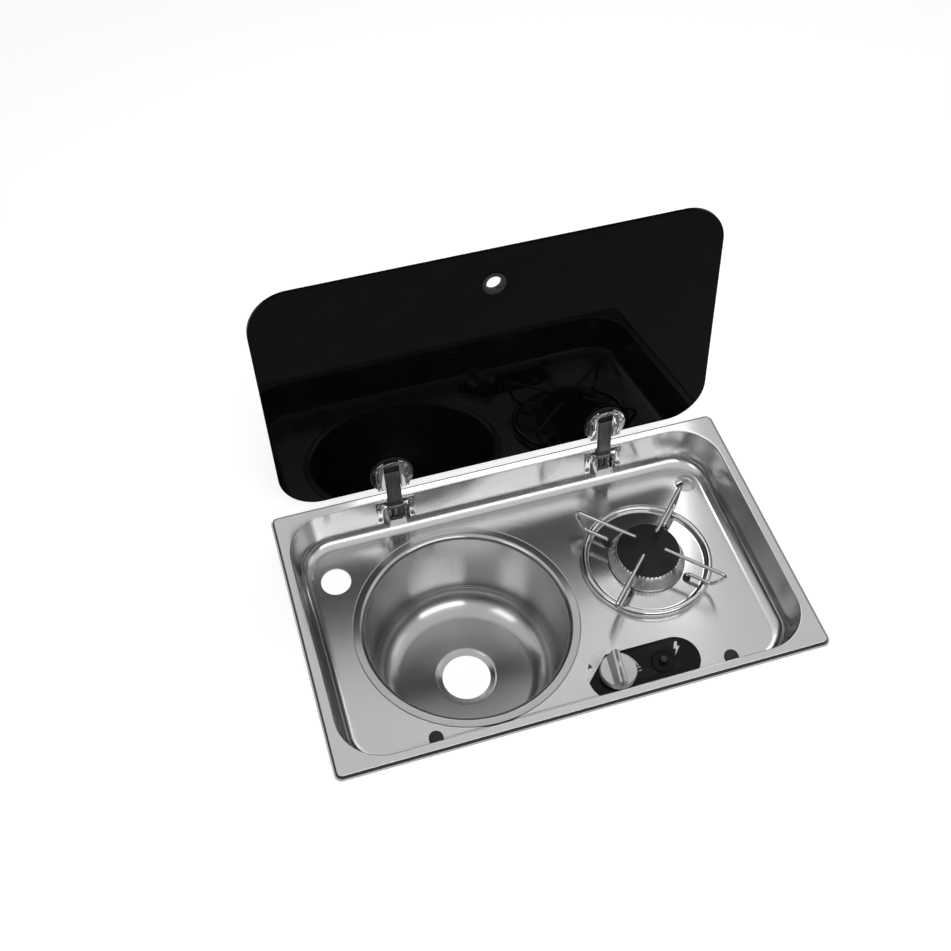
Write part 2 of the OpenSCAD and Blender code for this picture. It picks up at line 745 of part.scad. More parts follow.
// Return spring of the pushed spindle
module valve_spring() {
    color("#9aa0a6") at_knob() translate([0, 0, spring_z - 6]) difference() {
        cylinder(r = collar_bore_r - 0.5, h = collar_z - spring_z + 6);
        translate([0, 0, -1]) cylinder(r = spindle_r + 0.7, h = 60);
    }
}

// Collar that travels with the spindle and bears on the spring
module spindle_collar() {
    color("#c9a24a") at_knob() translate([0, 0, collar_z]) difference() {
        cylinder(r = collar_bore_r, h = 4);
        translate([0, 0, -1]) cylinder(r = spindle_r + run_fit, h = 10);
    }
}

// Spindle from the valve into the knob, with a flat for the knob's grip
module valve_spindle() {
    top = floor_z + knob_h - 5;
    color("#d2b766") at_knob() difference() {
        translate([0, 0, spring_z - 2]) cylinder(r = spindle_r, h = top - spring_z + 2);
        translate([-10, spindle_r - 1, knob_z + 6]) cube([20, 10, 40]);
    }
}

// Turning knob: round skirt with a raised grip across it
module knob() {
    top = floor_z + knob_h;
    face = top - 8;
    color("#b4b6b8") at_knob() rotate([0, 0, knob_off_angle - 90]) difference() {
        union() {
            rotate_extrude() polygon([[0, knob_z], [knob_r - 0.6, knob_z], [knob_r, knob_z + 0.6],
                                      [knob_r, face - 1.2], [knob_r - 1.2, face], [0, face]]);
            intersection() {
                translate([0, knob_r, 0]) rotate([90, 0, 0]) linear_extrude(2 * knob_r)
                    polygon([[-7.5, face - 1], [7.5, face - 1], [5, top], [-5, top]]);
                translate([0, 0, face - 1]) cylinder(r = knob_r - 0.3, h = 20);
            }
        }
        translate([0, 0, knob_z - 1]) cylinder(r = knob_r - 4, h = nut_h + push_travel + 2.5);
        translate([-1.7, -knob_r, top - 0.6]) cube([3.4, 2 * knob_r, 2]);
        rotate([0, 0, 90 - knob_off_angle]) difference() {
            translate([0, 0, knob_z - 1]) cylinder(r = spindle_r, h = top - 4 - knob_z);
            translate([-10, spindle_r - 1, knob_z + 6]) cube([20, 10, 40]);
        }
    }
}

// White pointer strip along the knob's grip
module knob_inlay() {
    top = floor_z + knob_h;
    color("white") at_knob() rotate([0, 0, knob_off_angle - 90]) intersection() {
        translate([-1.7, -knob_r, top - 0.6]) cube([3.4, 2 * knob_r, 0.6]);
        translate([0, 0, top - 2]) cylinder(r = knob_r - 0.3, h = 10);
    }
}

module at_button() {
    translate([button_x, panel_y, 0]) children();
}

button_top = panel_z + 8.5;
button_foot = panel_z - 12;

// Barrel and collar of the igniter
module igniter_body() {
    color("#161617") at_button() difference() {
        union() {
            translate([0, 0, panel_z - igniter_len])
                cylinder(r = igniter_r - run_fit, h = igniter_len);
            translate([0, 0, panel_z]) cylinder(r = igniter_r + 5, h = 1.2);
            translate([0, 0, panel_z + 1.2])
                cylinder(r1 = igniter_r + 5, r2 = igniter_r + 3.6, h = 0.8);
            translate([0, 0, panel_z]) cylinder(r = button_r + 1.8, h = 4);
        }
        translate([0, 0, button_foot - button_travel - 1]) cylinder(r = button_r + run_fit, h = 40);
    }
}

// Nut of the igniter below the tray
module igniter_nut() {
    color("#8f9296") at_button() translate([0, 0, valve_z - 4]) difference() {
        hexagon(22, 4);
        translate([0, 0, -1]) cylinder(r = igniter_r - run_fit, h = 10);
    }
}

// Push button of the igniter
module igniter_button() {
    color("#4a1414") at_button() {
        translate([0, 0, button_foot]) cylinder(r = button_r, h = button_top - 1 - button_foot);
        translate([0, 0, button_top - 1]) cylinder(r1 = button_r, r2 = button_r - 1, h = 1);
    }
}

lead_z = floor_z - 49;
lead_x = 195;
lead_clear = 21;

// Insulated lead from the igniter to the electrode
module ignition_lead() {
    a = probe_point(0);
    y_end = panel_y + igniter_r - 2;
    color("#1c1c1e") ball_wire([[button_x, y_end, panel_z - igniter_len],
        [button_x, y_end, lead_z], [lead_x, y_end + 50, lead_z], [lead_x - 2, a[1] + 8, lead_z],
        [a[0], a[1], lead_z], [a[0], a[1], floor_z - 26]], 1.5);
}

// Copper lead from the thermocouple to the valve
module thermocouple_lead() {
    b = probe_point(1);
    z_low = lead_z + 5;
    x_left = burner_x - cup_r - lead_clear;
    color("#b56b3c") ball_wire([[b[0], b[1], floor_z - 26], [b[0], b[1], z_low],
        [x_left, b[1] + 10, z_low], [x_left - 12, burner_y - 40, z_low],
        [knob_x, panel_y + 35, tube_z], [knob_x, panel_y + lead_port, tube_z]], 1.2);
}

function probe_point(i) = [burner_x + probe_ring_r * cos(probe_angles[i]),
                           burner_y + probe_ring_r * sin(probe_angles[i])];

// Quarter bend of pipe: turns from +X at the origin to +Y
module quarter_bend(r) {
    translate([0, pipe_bend_r, 0]) rotate([0, 0, -90]) rotate_extrude(angle = 90)
        translate([pipe_bend_r, 0]) circle(r);
}

// Run of the burner pipe, longer by `over` at both ends
module burner_run(r, over) {
    start_x = knob_x + outlet_port - over;
    corner_x = burner_x - pipe_bend_r;
    bar([start_x, panel_y, tube_z], [corner_x, panel_y, tube_z], r);
    translate([corner_x, panel_y, tube_z]) quarter_bend(r);
    bar([burner_x, panel_y + pipe_bend_r, tube_z], [burner_x, tube_end_y - 5 + over, tube_z], r);
}

// Pipe from the valve's side to the injector
module burner_pipe() {
    color("#c8a15a") difference() {
        burner_run(pipe_r, 0);
        burner_run(pipe_r - pipe_wall, 1);
    }
}

valve_foot_h = 4;
union_nut_h = 6;
union_flats = 14;
outlet_port = 16;
outlet_nut_x = knob_x + outlet_port + 10;
outlet_nut_h = 9;
burner_nut_h = 7;
inlet_z = valve_z - valve_h - valve_foot_h - union_nut_h - 1 - pipe_bend_r;
inlet_x = 226;

// Run of the inlet pipe, longer by `over` at both ends
module inlet_run(r, over) {
    bend_top = inlet_z + pipe_bend_r;
    bar([knob_x, panel_y, bend_top], [knob_x, panel_y, valve_z - valve_h + 2 + over], r);
    translate([knob_x, panel_y, bend_top]) rotate([0, 90, 0]) rotate([90, 0, 0]) quarter_bend(r);
    bar([knob_x + pipe_bend_r, panel_y, inlet_z], [inlet_x - pipe_bend_r, panel_y, inlet_z], r);
    translate([inlet_x - pipe_bend_r, panel_y, inlet_z]) quarter_bend(r);
    bar([inlet_x, panel_y + pipe_bend_r, inlet_z], [inlet_x, inlet_end_y + over, inlet_z], r);
}

// Gas inlet pipe from below the valve to the right and back to the rear
module inlet_pipe() {
    color("#c8a15a") difference() {
        inlet_run(pipe_r, 0);
        inlet_run(pipe_r - pipe_wall, 1);
    }
}

// Union nuts at the ends of the pipes
module pipe_nuts() {
    color("#c9a24a") {
        translate([outlet_nut_x, panel_y, tube_z]) rotate([0, 90, 0])
            ring_nut(union_flats, outlet_nut_h);
        translate([burner_x, tube_end_y - burner_nut_h, tube_z]) rotate([90, 0, 0])
            ring_nut(union_flats, burner_nut_h);
        translate([knob_x, panel_y, valve_z - valve_h - valve_foot_h - union_nut_h])
            ring_nut(union_flats, union_nut_h);
    }
}

module ring_nut(flats, h) {
    difference() {
        hexagon(flats, h);
        translate([0, 0, -1]) cylinder(r = pipe_r, h = h + 2);
    }
}

// Both hinge frames, with the lid open: local Y is v and local Z is u
module hinge_frames() {
    for (s = [-1, 1]) translate([s * hinge_x, pivot_y, pivot_z]) rotate([-lean, 0, 0]) children();
}

// The lid's frame on the pivot axis
module lid_frame() {
    translate([0, pivot_y, pivot_z]) rotate([-lean, 0, 0]) children();
}

// Block between given corners, in a hinge frame: x, v and u ranges
module block(x, v, u) {
    translate([x[0], v[0], u[0]]) cube([x[1] - x[0], v[1] - v[0], u[1] - u[0]]);
}

// Screw places of a bracket, pointing along v
module bracket_screw_places() {
    for (sx = [-1, 1], u = [-20.5, 2]) translate([sx * 20, wall_v, u]) rotate([90, 0, 0])
        children();
}

// Formed bracket on the rear wall: plate, slanting cheeks, sill and the pin's bores
module hinge_brackets() {
    plate_v = wall_v - plate_t;
    front_v = -4.6;
    half = pocket_w / 2;
    color("#cfd1d3") hinge_frames() difference() {
        union() {
            difference() {
                block([-bracket_w / 2, bracket_w / 2], [plate_v, wall_v],
                      [bracket_low, bracket_top]);
                block([-half, half], [-10, 10], [-5, 20]);
            }
            for (s = [0, 1]) mirror([s, 0, 0]) translate([0, 0, bracket_low])
                linear_extrude(3 - bracket_low)
                    polygon([[half, plate_v], [half, front_v], [half + 1.6, front_v],
                             [half + 7.5, plate_v]]);
            translate([-half - 1.6, 0, 0]) rotate([90, 0, 90]) linear_extrude(pocket_w + 3.2)
                polygon([[plate_v, bracket_low + 4], [front_v, bracket_low],
                         [front_v, bracket_low - 1.6], [plate_v, bracket_low + 1]]);
        }
        block([-30, 30], [front_v - 1, -pin_r - 1.6], [-2, 10]);
        rotate([0, 90, 0]) cylinder(r = pin_r, h = 60, center = true);
        bracket_screw_places() cylinder(r = 1.5, h = 10, center = true);
    }
}

// Hinge pins, pressed into the brackets' cheeks
module hinge_pins() {
    len = pocket_w + 6;
    color("#9b9ea2") hinge_frames() rotate([0, 90, 0]) cylinder(r = pin_r, h = len, center = true);
}

// Two-pronged leaf springs that hold the arms upright
module hinge_springs() {
    foot_u = bracket_low + 4.2;
    color("#5d6064") hinge_frames() {
        block([-7.5, 7.5], [0.6, 1.4], [foot_u, foot_u + 4]);
        for (s = [-1, 1]) block([s * 3.4 - 1.6, s * 3.4 + 1.6], [0.6, 1.4],
                                [foot_u, -eye_r - pass_gap]);
        block([-7.5, 7.5], [0.6, wall_v - plate_t], [foot_u, foot_u + 1.5]);
    }
}

// Pan-head screws of the brackets, through the tray's wall
module bracket_screws() {
    color("#7f8286") hinge_frames() bracket_screw_places() difference() {
        union() {
            translate([0, 0, -5]) cylinder(r = 1.5, h = 5 + plate_t);
            translate([0, 0, plate_t]) cylinder(r = 2.7, h = 0.9);
            translate([0, 0, plate_t + 0.9]) cylinder(r1 = 2.7, r2 = 1.6, h = 0.6);
        }
        for (a = [0, 90]) rotate([0, 0, a + 20])
            translate([-1.6, -0.3, plate_t + 0.7]) cube([3.2, 0.6, 2]);
    }
}

// Hinge arms: an eye on the pin and a strip that slides in the lid's clamp
module hinge_arms() {
    tip = open_edge_u + arm_reach;
    color("#3c3e42") hinge_frames() difference() {
        union() {
            rotate([0, 90, 0]) cylinder(r = eye_r, h = arm_w, center = true);
            block([-arm_w / 2, arm_w / 2], [arm_v, arm_v + arm_t], [0, tip]);
            for (s = [-1, 1]) block([s * 6.2 - 0.6, s * 6.2 + 0.6], [arm_v - 0.8, arm_v + 1],
                                    [6, tip - 3]);
        }
        rotate([0, 90, 0]) cylinder(r = pin_r + run_fit, h = 60, center = true);
    }
}

finger_hole_u = open_edge_u + finger_hole_v;
clamp_screw_x = 17;

// Toughened glass lid, in its open position
module lid_glass() {
    color([0.03, 0.03, 0.035]) lid_frame() difference() {
        translate([0, glass_v + lid_t, open_edge_u + lid_d / 2]) rotate([90, 0, 0])
            linear_extrude(lid_t) rounded_rect(lid_w, lid_d, lid_corner_r);
        translate([0, 0, finger_hole_u]) rotate([-90, 0, 0])
            cylinder(r = finger_hole_r, h = 30);
        for (h = [-1, 1], s = [-1, 1])
            translate([h * hinge_x + s * clamp_screw_x, 0, clamp_u]) rotate([-90, 0, 0])
                cylinder(r = 3.5, h = 30);
    }
}

// Rubber grommet in the lid's finger hole
module lid_grommet() {
    lip_r = finger_hole_r + 2;
    bore_r = finger_hole_r - 2.3;
    color("#0e0e0f") lid_frame() translate([0, glass_v, finger_hole_u]) rotate([-90, 0, 0])
        difference() {
            union() {
                cylinder(r = finger_hole_r, h = lid_t);
                translate([0, 0, -1.2]) cylinder(r = lip_r, h = 1.2);
                translate([0, 0, lid_t]) cylinder(r = lip_r, h = 1.2);
            }
            translate([0, 0, -5]) cylinder(r = bore_r, h = 30);
        }
}

// Outline of a clamp, x and u: a disc with a flat lower edge
module clamp_outline(r) {
    intersection() {
        circle(r);
        translate([-r, -20]) square([2 * r, 20 + r]);
    }
}

// Plate of a clamp outline in a hinge frame, from one v to another
module clamp_plate(r, v0, v1) {
    translate([0, v1, clamp_u]) rotate([90, 0, 0]) linear_extrude(v1 - v0) clamp_outline(r);
}

// Rubber pads between the clamps and the glass
module clamp_pads() {
    color("#0c0c0d") hinge_frames() difference() {
        clamp_plate(clamp_r + 0.8, glass_v - pad_t, glass_v);
        for (s = [-1, 1]) translate([s * clamp_screw_x, 0, clamp_u]) rotate([-90, 0, 0])
            cylinder(r = 2.1, h = 30);
        block([-12, 12], [0, 10], [clamp_u - 30, open_edge_u]);
    }
}

// Cast clamps on the lid's underside, with a channel and a bridge for the arm
module clamp_fronts() {
    back_v = glass_v - pad_t;
    front_v = back_v - clamp_t;
    bridge_u = clamp_u + 17.6;
    ridge_top = clamp_u + 13;
    top_v = arm_v - 0.8 - pass_gap;
    half = pocket_w / 2;
    color("#b9bbbe") hinge_frames() difference() {
        union() {
            clamp_plate(clamp_r, front_v, back_v);
            intersection() {
                clamp_plate(clamp_r - 1.5, top_v - 1.6, back_v);
                block([-40, 40], [-20, 20], [bridge_u - 1, bridge_u + 40]);
            }
            for (s = [-1, 1]) block([s * 17 - 1.9, s * 17 + 1.9], [front_v - 2.2, back_v],
                                    [clamp_u - 17.5, ridge_top]);
        }
        block([-half, half], [top_v, 20], [clamp_u - 40, clamp_u + 40]);
        block([-half, half], [-20, 20], [clamp_u - 40, bridge_u]);
        for (s = [-1, 1]) translate([s * clamp_screw_x, back_v + 1, clamp_u]) rotate([90, 0, 0])
            cylinder(r = 2, h = clamp_t + 0.6);
    }
}

// Clamp plates on the lid's outer face
module clamp_backs() {
    v0 = glass_v + lid_t;
    color("#b9bbbe") hinge_frames() difference() {
        clamp_plate(clamp_r, v0, v0 + 2);
        for (s = [-1, 1]) translate([s * clamp_screw_x, 0, clamp_u]) rotate([-90, 0, 0])
            cylinder(r = 2.1, h = 30);
    }
}

// Screws that pull each clamp together through the glass
module clamp_screws() {
    v0 = glass_v + lid_t + 2;
    color("#8b8e92") hinge_frames() for (s = [-1, 1])
        translate([s * clamp_screw_x, v0, clamp_u]) rotate([-90, 0, 0]) difference() {
            union() {
                translate([0, 0, -lid_t - 2 - pad_t - clamp_t + 1]) cylinder(r = 2, h = 12);
                cylinder(r1 = 3.8, r2 = 3, h = 1.6);
            }
            for (a = [0, 90]) rotate([0, 0, a]) translate([-2, -0.4, 0.7]) cube([4, 0.8, 2]);
        }
}

tray();
bowl();
lid_rests();
burner_dish();
burner_cup();
burner_carrier();
burner_crown();
burner_cap();
mixing_tube();
gas_injector();
ignition_electrode();
thermocouple();
pan_fingers();
pan_feet();
retaining_washer();
retaining_screw();
control_panel();
gas_valve();
valve_nut();
valve_spring();
spindle_collar();
valve_spindle();
knob();
knob_inlay();
igniter_body();
igniter_nut();
igniter_button();
ignition_lead();
thermocouple_lead();
burner_pipe();
inlet_pipe();
pipe_nuts();
hinge_brackets();
hinge_pins();
hinge_springs();
bracket_screws();
hinge_arms();
lid_glass();
lid_grommet();
clamp_fronts();
clamp_pads();
clamp_backs();
clamp_screws();
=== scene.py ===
# %% [markdown]
# # A hob and sink combination in a pressed steel tray
# The object is a drop-in kitchen unit for a small galley: one pressed stainless tray that holds a
# deep-drawn bowl, a single gas burner with a wire pan support, a black control panel, and a black
# glass lid on two hinges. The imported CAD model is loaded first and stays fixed. Everything made
# below is laid over it in the same frame, in metres, so that the visible pieces land exactly
# where the mechanism has them.

# %% Load the frame
import json
import math

import bmesh
import bpy
import numpy as np
from mathutils import Matrix


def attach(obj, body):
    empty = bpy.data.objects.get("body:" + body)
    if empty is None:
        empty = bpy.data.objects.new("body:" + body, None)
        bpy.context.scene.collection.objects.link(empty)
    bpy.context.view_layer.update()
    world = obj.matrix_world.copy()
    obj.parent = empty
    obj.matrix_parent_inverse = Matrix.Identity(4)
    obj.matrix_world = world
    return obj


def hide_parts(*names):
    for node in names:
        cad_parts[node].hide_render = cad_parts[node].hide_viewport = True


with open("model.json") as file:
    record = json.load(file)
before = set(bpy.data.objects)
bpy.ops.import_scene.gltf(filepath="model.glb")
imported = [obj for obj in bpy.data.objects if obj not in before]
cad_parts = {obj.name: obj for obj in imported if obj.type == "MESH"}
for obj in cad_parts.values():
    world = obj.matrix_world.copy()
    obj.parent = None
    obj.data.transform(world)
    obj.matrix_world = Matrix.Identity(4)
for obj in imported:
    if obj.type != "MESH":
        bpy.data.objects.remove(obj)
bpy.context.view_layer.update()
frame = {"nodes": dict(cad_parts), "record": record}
nodes = frame["nodes"]

MM = 0.001
TAU = 2 * math.pi

# %% [markdown]
# ## Sizes shared with the construction
# A maker works from one drawing, so the numbers that several pieces share are written once. They
# are in millimetres, as on the drawing, and each mesh is scaled to metres at the very end.

# %% Shared sizes
SHEET = 0.8
LIP_W, LIP_D, LIP_R = 560, 340, 9
STEP_IN = 3.5
FLANGE_Z = 4.8
OPEN_X, OPEN_Y, OPEN_R = 266, 157, 52
FLOOR_Z = -46
LEAN = math.radians(9.1)
BEND_R = 16
BOWL = (-90, -3)
BURNER = (139, 15.5)
TAP = (-222, 94)
KNOB = (53, -116)
PIVOT = (151, -5.3147)
GLASS_V, EDGE_U = 5.1147, 31.318
LID_W, LID_D, LID_T, LID_R = 522, 295, 5, 47
print("recess is", FLANGE_Z - FLOOR_Z, "mm deep")

# %% [markdown]
# ## Small tools for surfaces
# Each piece is a surface given by two parameters. Its points are worked out as one numpy array,
# and one function turns any such grid into a mesh. A grid can close on itself along either
# parameter, as a ring or a tube does.

# %% Grid to mesh
MERGE_MM = 0.002
SHARP_DEG = 40


def add_object(name, mesh, body, replaces, material):
    """Links a mesh as a piece that rides on a CAD body and may stand for CAD nodes."""
    piece = bpy.data.objects.new(name, mesh)
    bpy.context.scene.collection.objects.link(piece)
    mesh.materials.clear()
    mesh.materials.append(material)
    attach(piece, body)
    if replaces:
        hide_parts(*replaces)
    return piece


def smooth_all_but(mesh, sharp_deg):
    """Smooth shading, apart from the edges that turn by more than an angle."""
    mesh.shade_smooth()
    mesh.set_sharp_from_angle(angle=math.radians(sharp_deg))


def bake_modifiers(piece):
    """Puts the result of a piece's modifiers into its mesh."""
    graph = bpy.context.evaluated_depsgraph_get()
    baked = bpy.data.meshes.new_from_object(piece.evaluated_get(graph))
    piece.modifiers.clear()
    piece.data = baked


def grid_faces(nu, nv, wrap_u, wrap_v):
    """Quads of a grid of nu x nv points: each joins (i, j), (i+1, j), (i+1, j+1), (i, j+1)."""
    rows = np.arange(nu if wrap_u else nu - 1)
    columns = np.arange(nv if wrap_v else nv - 1)
    i, j = np.meshgrid(rows, columns, indexing="ij")
    next_i, next_j = (i + 1) % nu, (j + 1) % nv
    quad = np.stack([i * nv + j, next_i * nv + j, next_i * nv + next_j, i * nv + next_j], -1)
    return quad.reshape(-1, 4)


def raw_mesh(name, points, faces):
    """A mesh from points in millimetres and a list of faces."""
    mesh = bpy.data.meshes.new(name)
    mesh.from_pydata((np.asarray(points, float) * MM).tolist(), [], faces)
    mesh.update()
    return mesh


def surface(name, grid, wrap_u=False, wrap_v=False, capped=False, sharp_deg=35):
    """A mesh from a grid of points (nu, nv, 3), with a flat cap on both ends of v if it is
    capped. Doubles are merged, and the faces point outwards."""
    nu, nv = grid.shape[:2]
    faces = grid_faces(nu, nv, wrap_u, wrap_v).tolist()
    if capped:
        first_end = np.arange(nu) * nv
        faces += [first_end.tolist(), (first_end[::-1] + nv - 1).tolist()]
    mesh = raw_mesh(name, grid.reshape(-1, 3), faces)
    bm = bmesh.new()
    bm.from_mesh(mesh)
    bmesh.ops.remove_doubles(bm, verts=bm.verts, dist=MERGE_MM * MM)
    bmesh.ops.dissolve_degenerate(bm, edges=bm.edges, dist=MERGE_MM * MM)
    bmesh.ops.recalc_face_normals(bm, faces=bm.faces)
    bm.to_mesh(mesh)
    bm.free()
    smooth_all_but(mesh, sharp_deg)
    return mesh


def joined(name, meshes):
    """Several meshes as one."""
    bm = bmesh.new()
    for mesh in meshes:
        bm.from_mesh(mesh)
    whole = bpy.data.meshes.new(name)
    bm.to_mesh(whole)
    bm.free()
    smooth_all_but(whole, SHARP_DEG)
    return whole


print("a grid of 4 x 3 points has", len(grid_faces(4, 3, False, False)), "quads")


# %% Profiles and outlines
def arc(cx, cy, r, a0, a1, n):
    """Points on a circle: centre plus r times (cos a, sin a), with a from a0 to a1 in degrees.
    The radius may be one number or one for each point."""
    a = np.radians(np.linspace(a0, a1, n))
    return np.stack([cx + r * np.cos(a), cy + r * np.sin(a)], -1)


def chain(*parts):
    """One polyline from several, each a point or a list of points."""
    return np.concatenate([np.atleast_2d(np.asarray(part, float)) for part in parts])


def held(start, end, inset=1.2):
    """Two points on the straight run from start to end, each an inset from its end. They keep
    the rounded shading of the bends beside the run from spreading over it."""
    start, end = np.asarray(start, float), np.asarray(end, float)
    step = (end - start) / np.linalg.norm(end - start) * inset
    return np.stack([start + step, end - step])


def round_corners(points, r, n, closed=True):
    """Each corner of a polyline is replaced by a curve that leaves it r before and meets it r
    after: (1-t)^2 times the first point, plus 2t(1-t) times the corner, plus t^2 times the
    second. Here r stays under half of a side. An open polyline keeps its two ends."""
    corner = np.asarray(points, float)
    r = np.broadcast_to(r, len(corner))
    before = np.roll(corner, 1, 0) - corner
    after = np.roll(corner, -1, 0) - corner
    before_length = np.linalg.norm(before, axis=1, keepdims=True)
    after_length = np.linalg.norm(after, axis=1, keepdims=True)
    cut = np.minimum(np.minimum(before_length, after_length) * 0.49, r[:, None])
    first = (corner + before / before_length * cut)[:, None]
    second = (corner + after / after_length * cut)[:, None]
    t = np.linspace(0, 1, n)[None, :, None]
    curve = (1 - t) ** 2 * first + 2 * t * (1 - t) * corner[:, None] + t**2 * second
    if not closed:
        curve[0], curve[-1] = corner[0], corner[-1]
    curve = curve.reshape(-1, corner.shape[1])
    keep = np.ones(len(curve), bool)
    keep[1:] = np.linalg.norm(np.diff(curve, axis=0), axis=1) > 1e-6
    return curve[keep]


def rounded_rect(hx, hy, r, n=20):
    """Corner arcs of radius r about the four corner centres, joined by straight sides."""
    corners = [(1, 1, 0), (-1, 1, 90), (-1, -1, 180), (1, -1, 270)]
    return chain(*[arc(sx * (hx - r), sy * (hy - r), r, a, a + 90, n) for sx, sy, a in corners])


def at_height(outline, z):
    """A flat outline as points in space, all at one height."""
    return np.column_stack([outline, np.full(len(outline), z)])


def ring_points(cx, cy, r, z, n):
    """n points on a level circle."""
    return at_height(arc(cx, cy, r, 0, 360, n + 1)[:-1], z)


print("a rounded rectangle has", len(rounded_rect(10, 10, 1)), "points")


# %% Turned pieces, wires and flat pieces
def revolve(name, profile, centre=(0, 0), segments=128, closed=True, sharp_deg=35):
    """A turned piece: the profile (radius, height) at angle a is (r cos a, r sin a, z)."""
    a = np.linspace(0, TAU, segments, endpoint=False)[:, None]
    r, z = profile[None, :, 0], profile[None, :, 1]
    grid = np.stack([centre[0] + r * np.cos(a), centre[1] + r * np.sin(a), z + 0 * a], -1)
    return surface(name, grid, wrap_u=True, wrap_v=closed, sharp_deg=sharp_deg)


def tube(name, path, r, across, sides):
    """A round wire: path(s) + r (cos t N + sin t B), with N square to the tangent and to a fixed
    direction across the path, and B square to both."""
    path = np.asarray(path, float)
    tangent = np.gradient(path, axis=0)
    tangent /= np.linalg.norm(tangent, axis=1, keepdims=True)
    side_n = np.cross(tangent, np.asarray(across, float))
    side_n /= np.linalg.norm(side_n, axis=1, keepdims=True)
    side_b = np.cross(tangent, side_n)
    t = np.linspace(0, TAU, sides, endpoint=False)[:, None, None]
    r = np.asarray(r, float).reshape(-1, 1)
    grid = path[None] + r * (np.cos(t) * side_n + np.sin(t) * side_b)
    return surface(name, grid, wrap_u=True, capped=True)


def slab(outline, z0, z1, edge):
    """A plate from a flat outline: six copies of it, three at each face, drawn in along the
    edge's radius by edge (1 - sin a) and raised by edge (1 - cos a)."""
    outline = np.asarray(outline, float)
    along = np.roll(outline, -1, 0) - np.roll(outline, 1, 0)
    outward = np.stack([along[:, 1], -along[:, 0]], -1)
    outward /= np.linalg.norm(along, axis=1, keepdims=True)
    steps = [(edge * (1 - math.sin(a)), z0 + edge * (1 - math.cos(a)))
             for a in np.radians([0, 45, 90])]
    steps += [(inset, z0 + z1 - z) for inset, z in reversed(steps)]
    return np.stack([at_height(outline - outward * inset, z) for inset, z in steps], 1)


def fill_between(bm, outlines):
    """Fills the flat area inside the first outline and outside the others."""
    edges = []
    for points in outlines:
        verts = [bm.verts.new(p) for p in (points * MM).tolist()]
        edges += [bm.edges.new(pair) for pair in zip(verts, verts[1:] + verts[:1])]
    bmesh.ops.triangle_fill(bm, use_beauty=True, use_dissolve=False, edges=edges)


def wall_between(bm, outlines):
    """A band of quads from each closed outline to the next."""
    grid = np.stack(outlines, 0)
    faces = grid_faces(*grid.shape[:2], False, True).tolist()
    bm.from_mesh(raw_mesh("wall", grid.reshape(-1, 3), faces))


print("a slab has", slab(rounded_rect(10, 10, 1), 0, 2, 0.3).shape[1], "levels")

# %% [markdown]
# ## A piece taken over from the CAD
# Small stamped and turned parts already have the right shape in the CAD. A copy is merged into
# one closed mesh, its flat faces are joined, and its edges get the small radius that tumbling or
# plating leaves on a real part, because a dead-sharp edge never catches a highlight.

# %% CAD copy with softened edges
CAD_MERGE_MM = 0.004
FLAT_DEG, EDGE_DEG = 0.6, 30


def softened(name, node, body, material, radius, slot, segments=2, sharp_deg=35):
    """A merged, bevelled and smoothed copy of a CAD node."""
    mesh = nodes[node].data.copy()
    mesh.name = name
    bm = bmesh.new()
    bm.from_mesh(mesh)
    bmesh.ops.remove_doubles(bm, verts=bm.verts, dist=CAD_MERGE_MM * MM)
    bmesh.ops.dissolve_limit(bm, angle_limit=math.radians(FLAT_DEG), verts=bm.verts,
                             edges=bm.edges)
    bm.to_mesh(mesh)
    bm.free()
    piece = add_object(name, mesh, body, (node,), material)
    if radius:
        bevel = piece.modifiers.new("tumbled edges", "BEVEL")
        bevel.width = radius * MM
        bevel.segments = segments
        bevel.limit_method = "ANGLE"
        bevel.angle_limit = math.radians(EDGE_DEG)
        bake_modifiers(piece)
    smooth_all_but(piece.data, sharp_deg)
    return piece


# %% [markdown]
# ## Materials
# Every finish is a node tree that starts from the real one's typical values. Colours are sRGB
# hex values, turned to linear by one function. Grain reads the object's own coordinates in
# metres, so a scale is one over a real size.


# %% Colour and node helpers
def linear(hex_code):
    """sRGB hex to linear: c/12.92 below 0.04045, else ((c+0.055)/1.055)^2.4."""
    c = np.array([int(hex_code[i:i + 2], 16) / 255 for i in (1, 3, 5)])
    c = np.where(c <= 0.04045, c / 12.92, ((c + 0.055) / 1.055) ** 2.4)
    return (*c.tolist(), 1.0)


def put(tree, kind, settings=None, **links):
    """Adds a node, sets its properties and inputs, and links sockets by input name. A link
    named _0 goes to the input of that number."""
    node = tree.nodes.new("ShaderNode" + kind)
    for key, value in (settings or {}).items():
        if isinstance(key, str) and hasattr(node, key):
            setattr(node, key, value)
        else:
            node.inputs[key].default_value = value
    for key, source in links.items():
        number = key[1:]
        tree.links.new(source, node.inputs[int(number) if number.isdigit() else key])
    return node


def finish_of(name, settings):
    """A material with a principled shader: returns the material, its tree and its shader."""
    material = bpy.data.materials.new(name)
    material.use_nodes = True
    tree = material.node_tree
    shader = tree.nodes["Principled BSDF"]
    for key, value in settings.items():
        shader.inputs[key].default_value = value
    return material, tree, shader


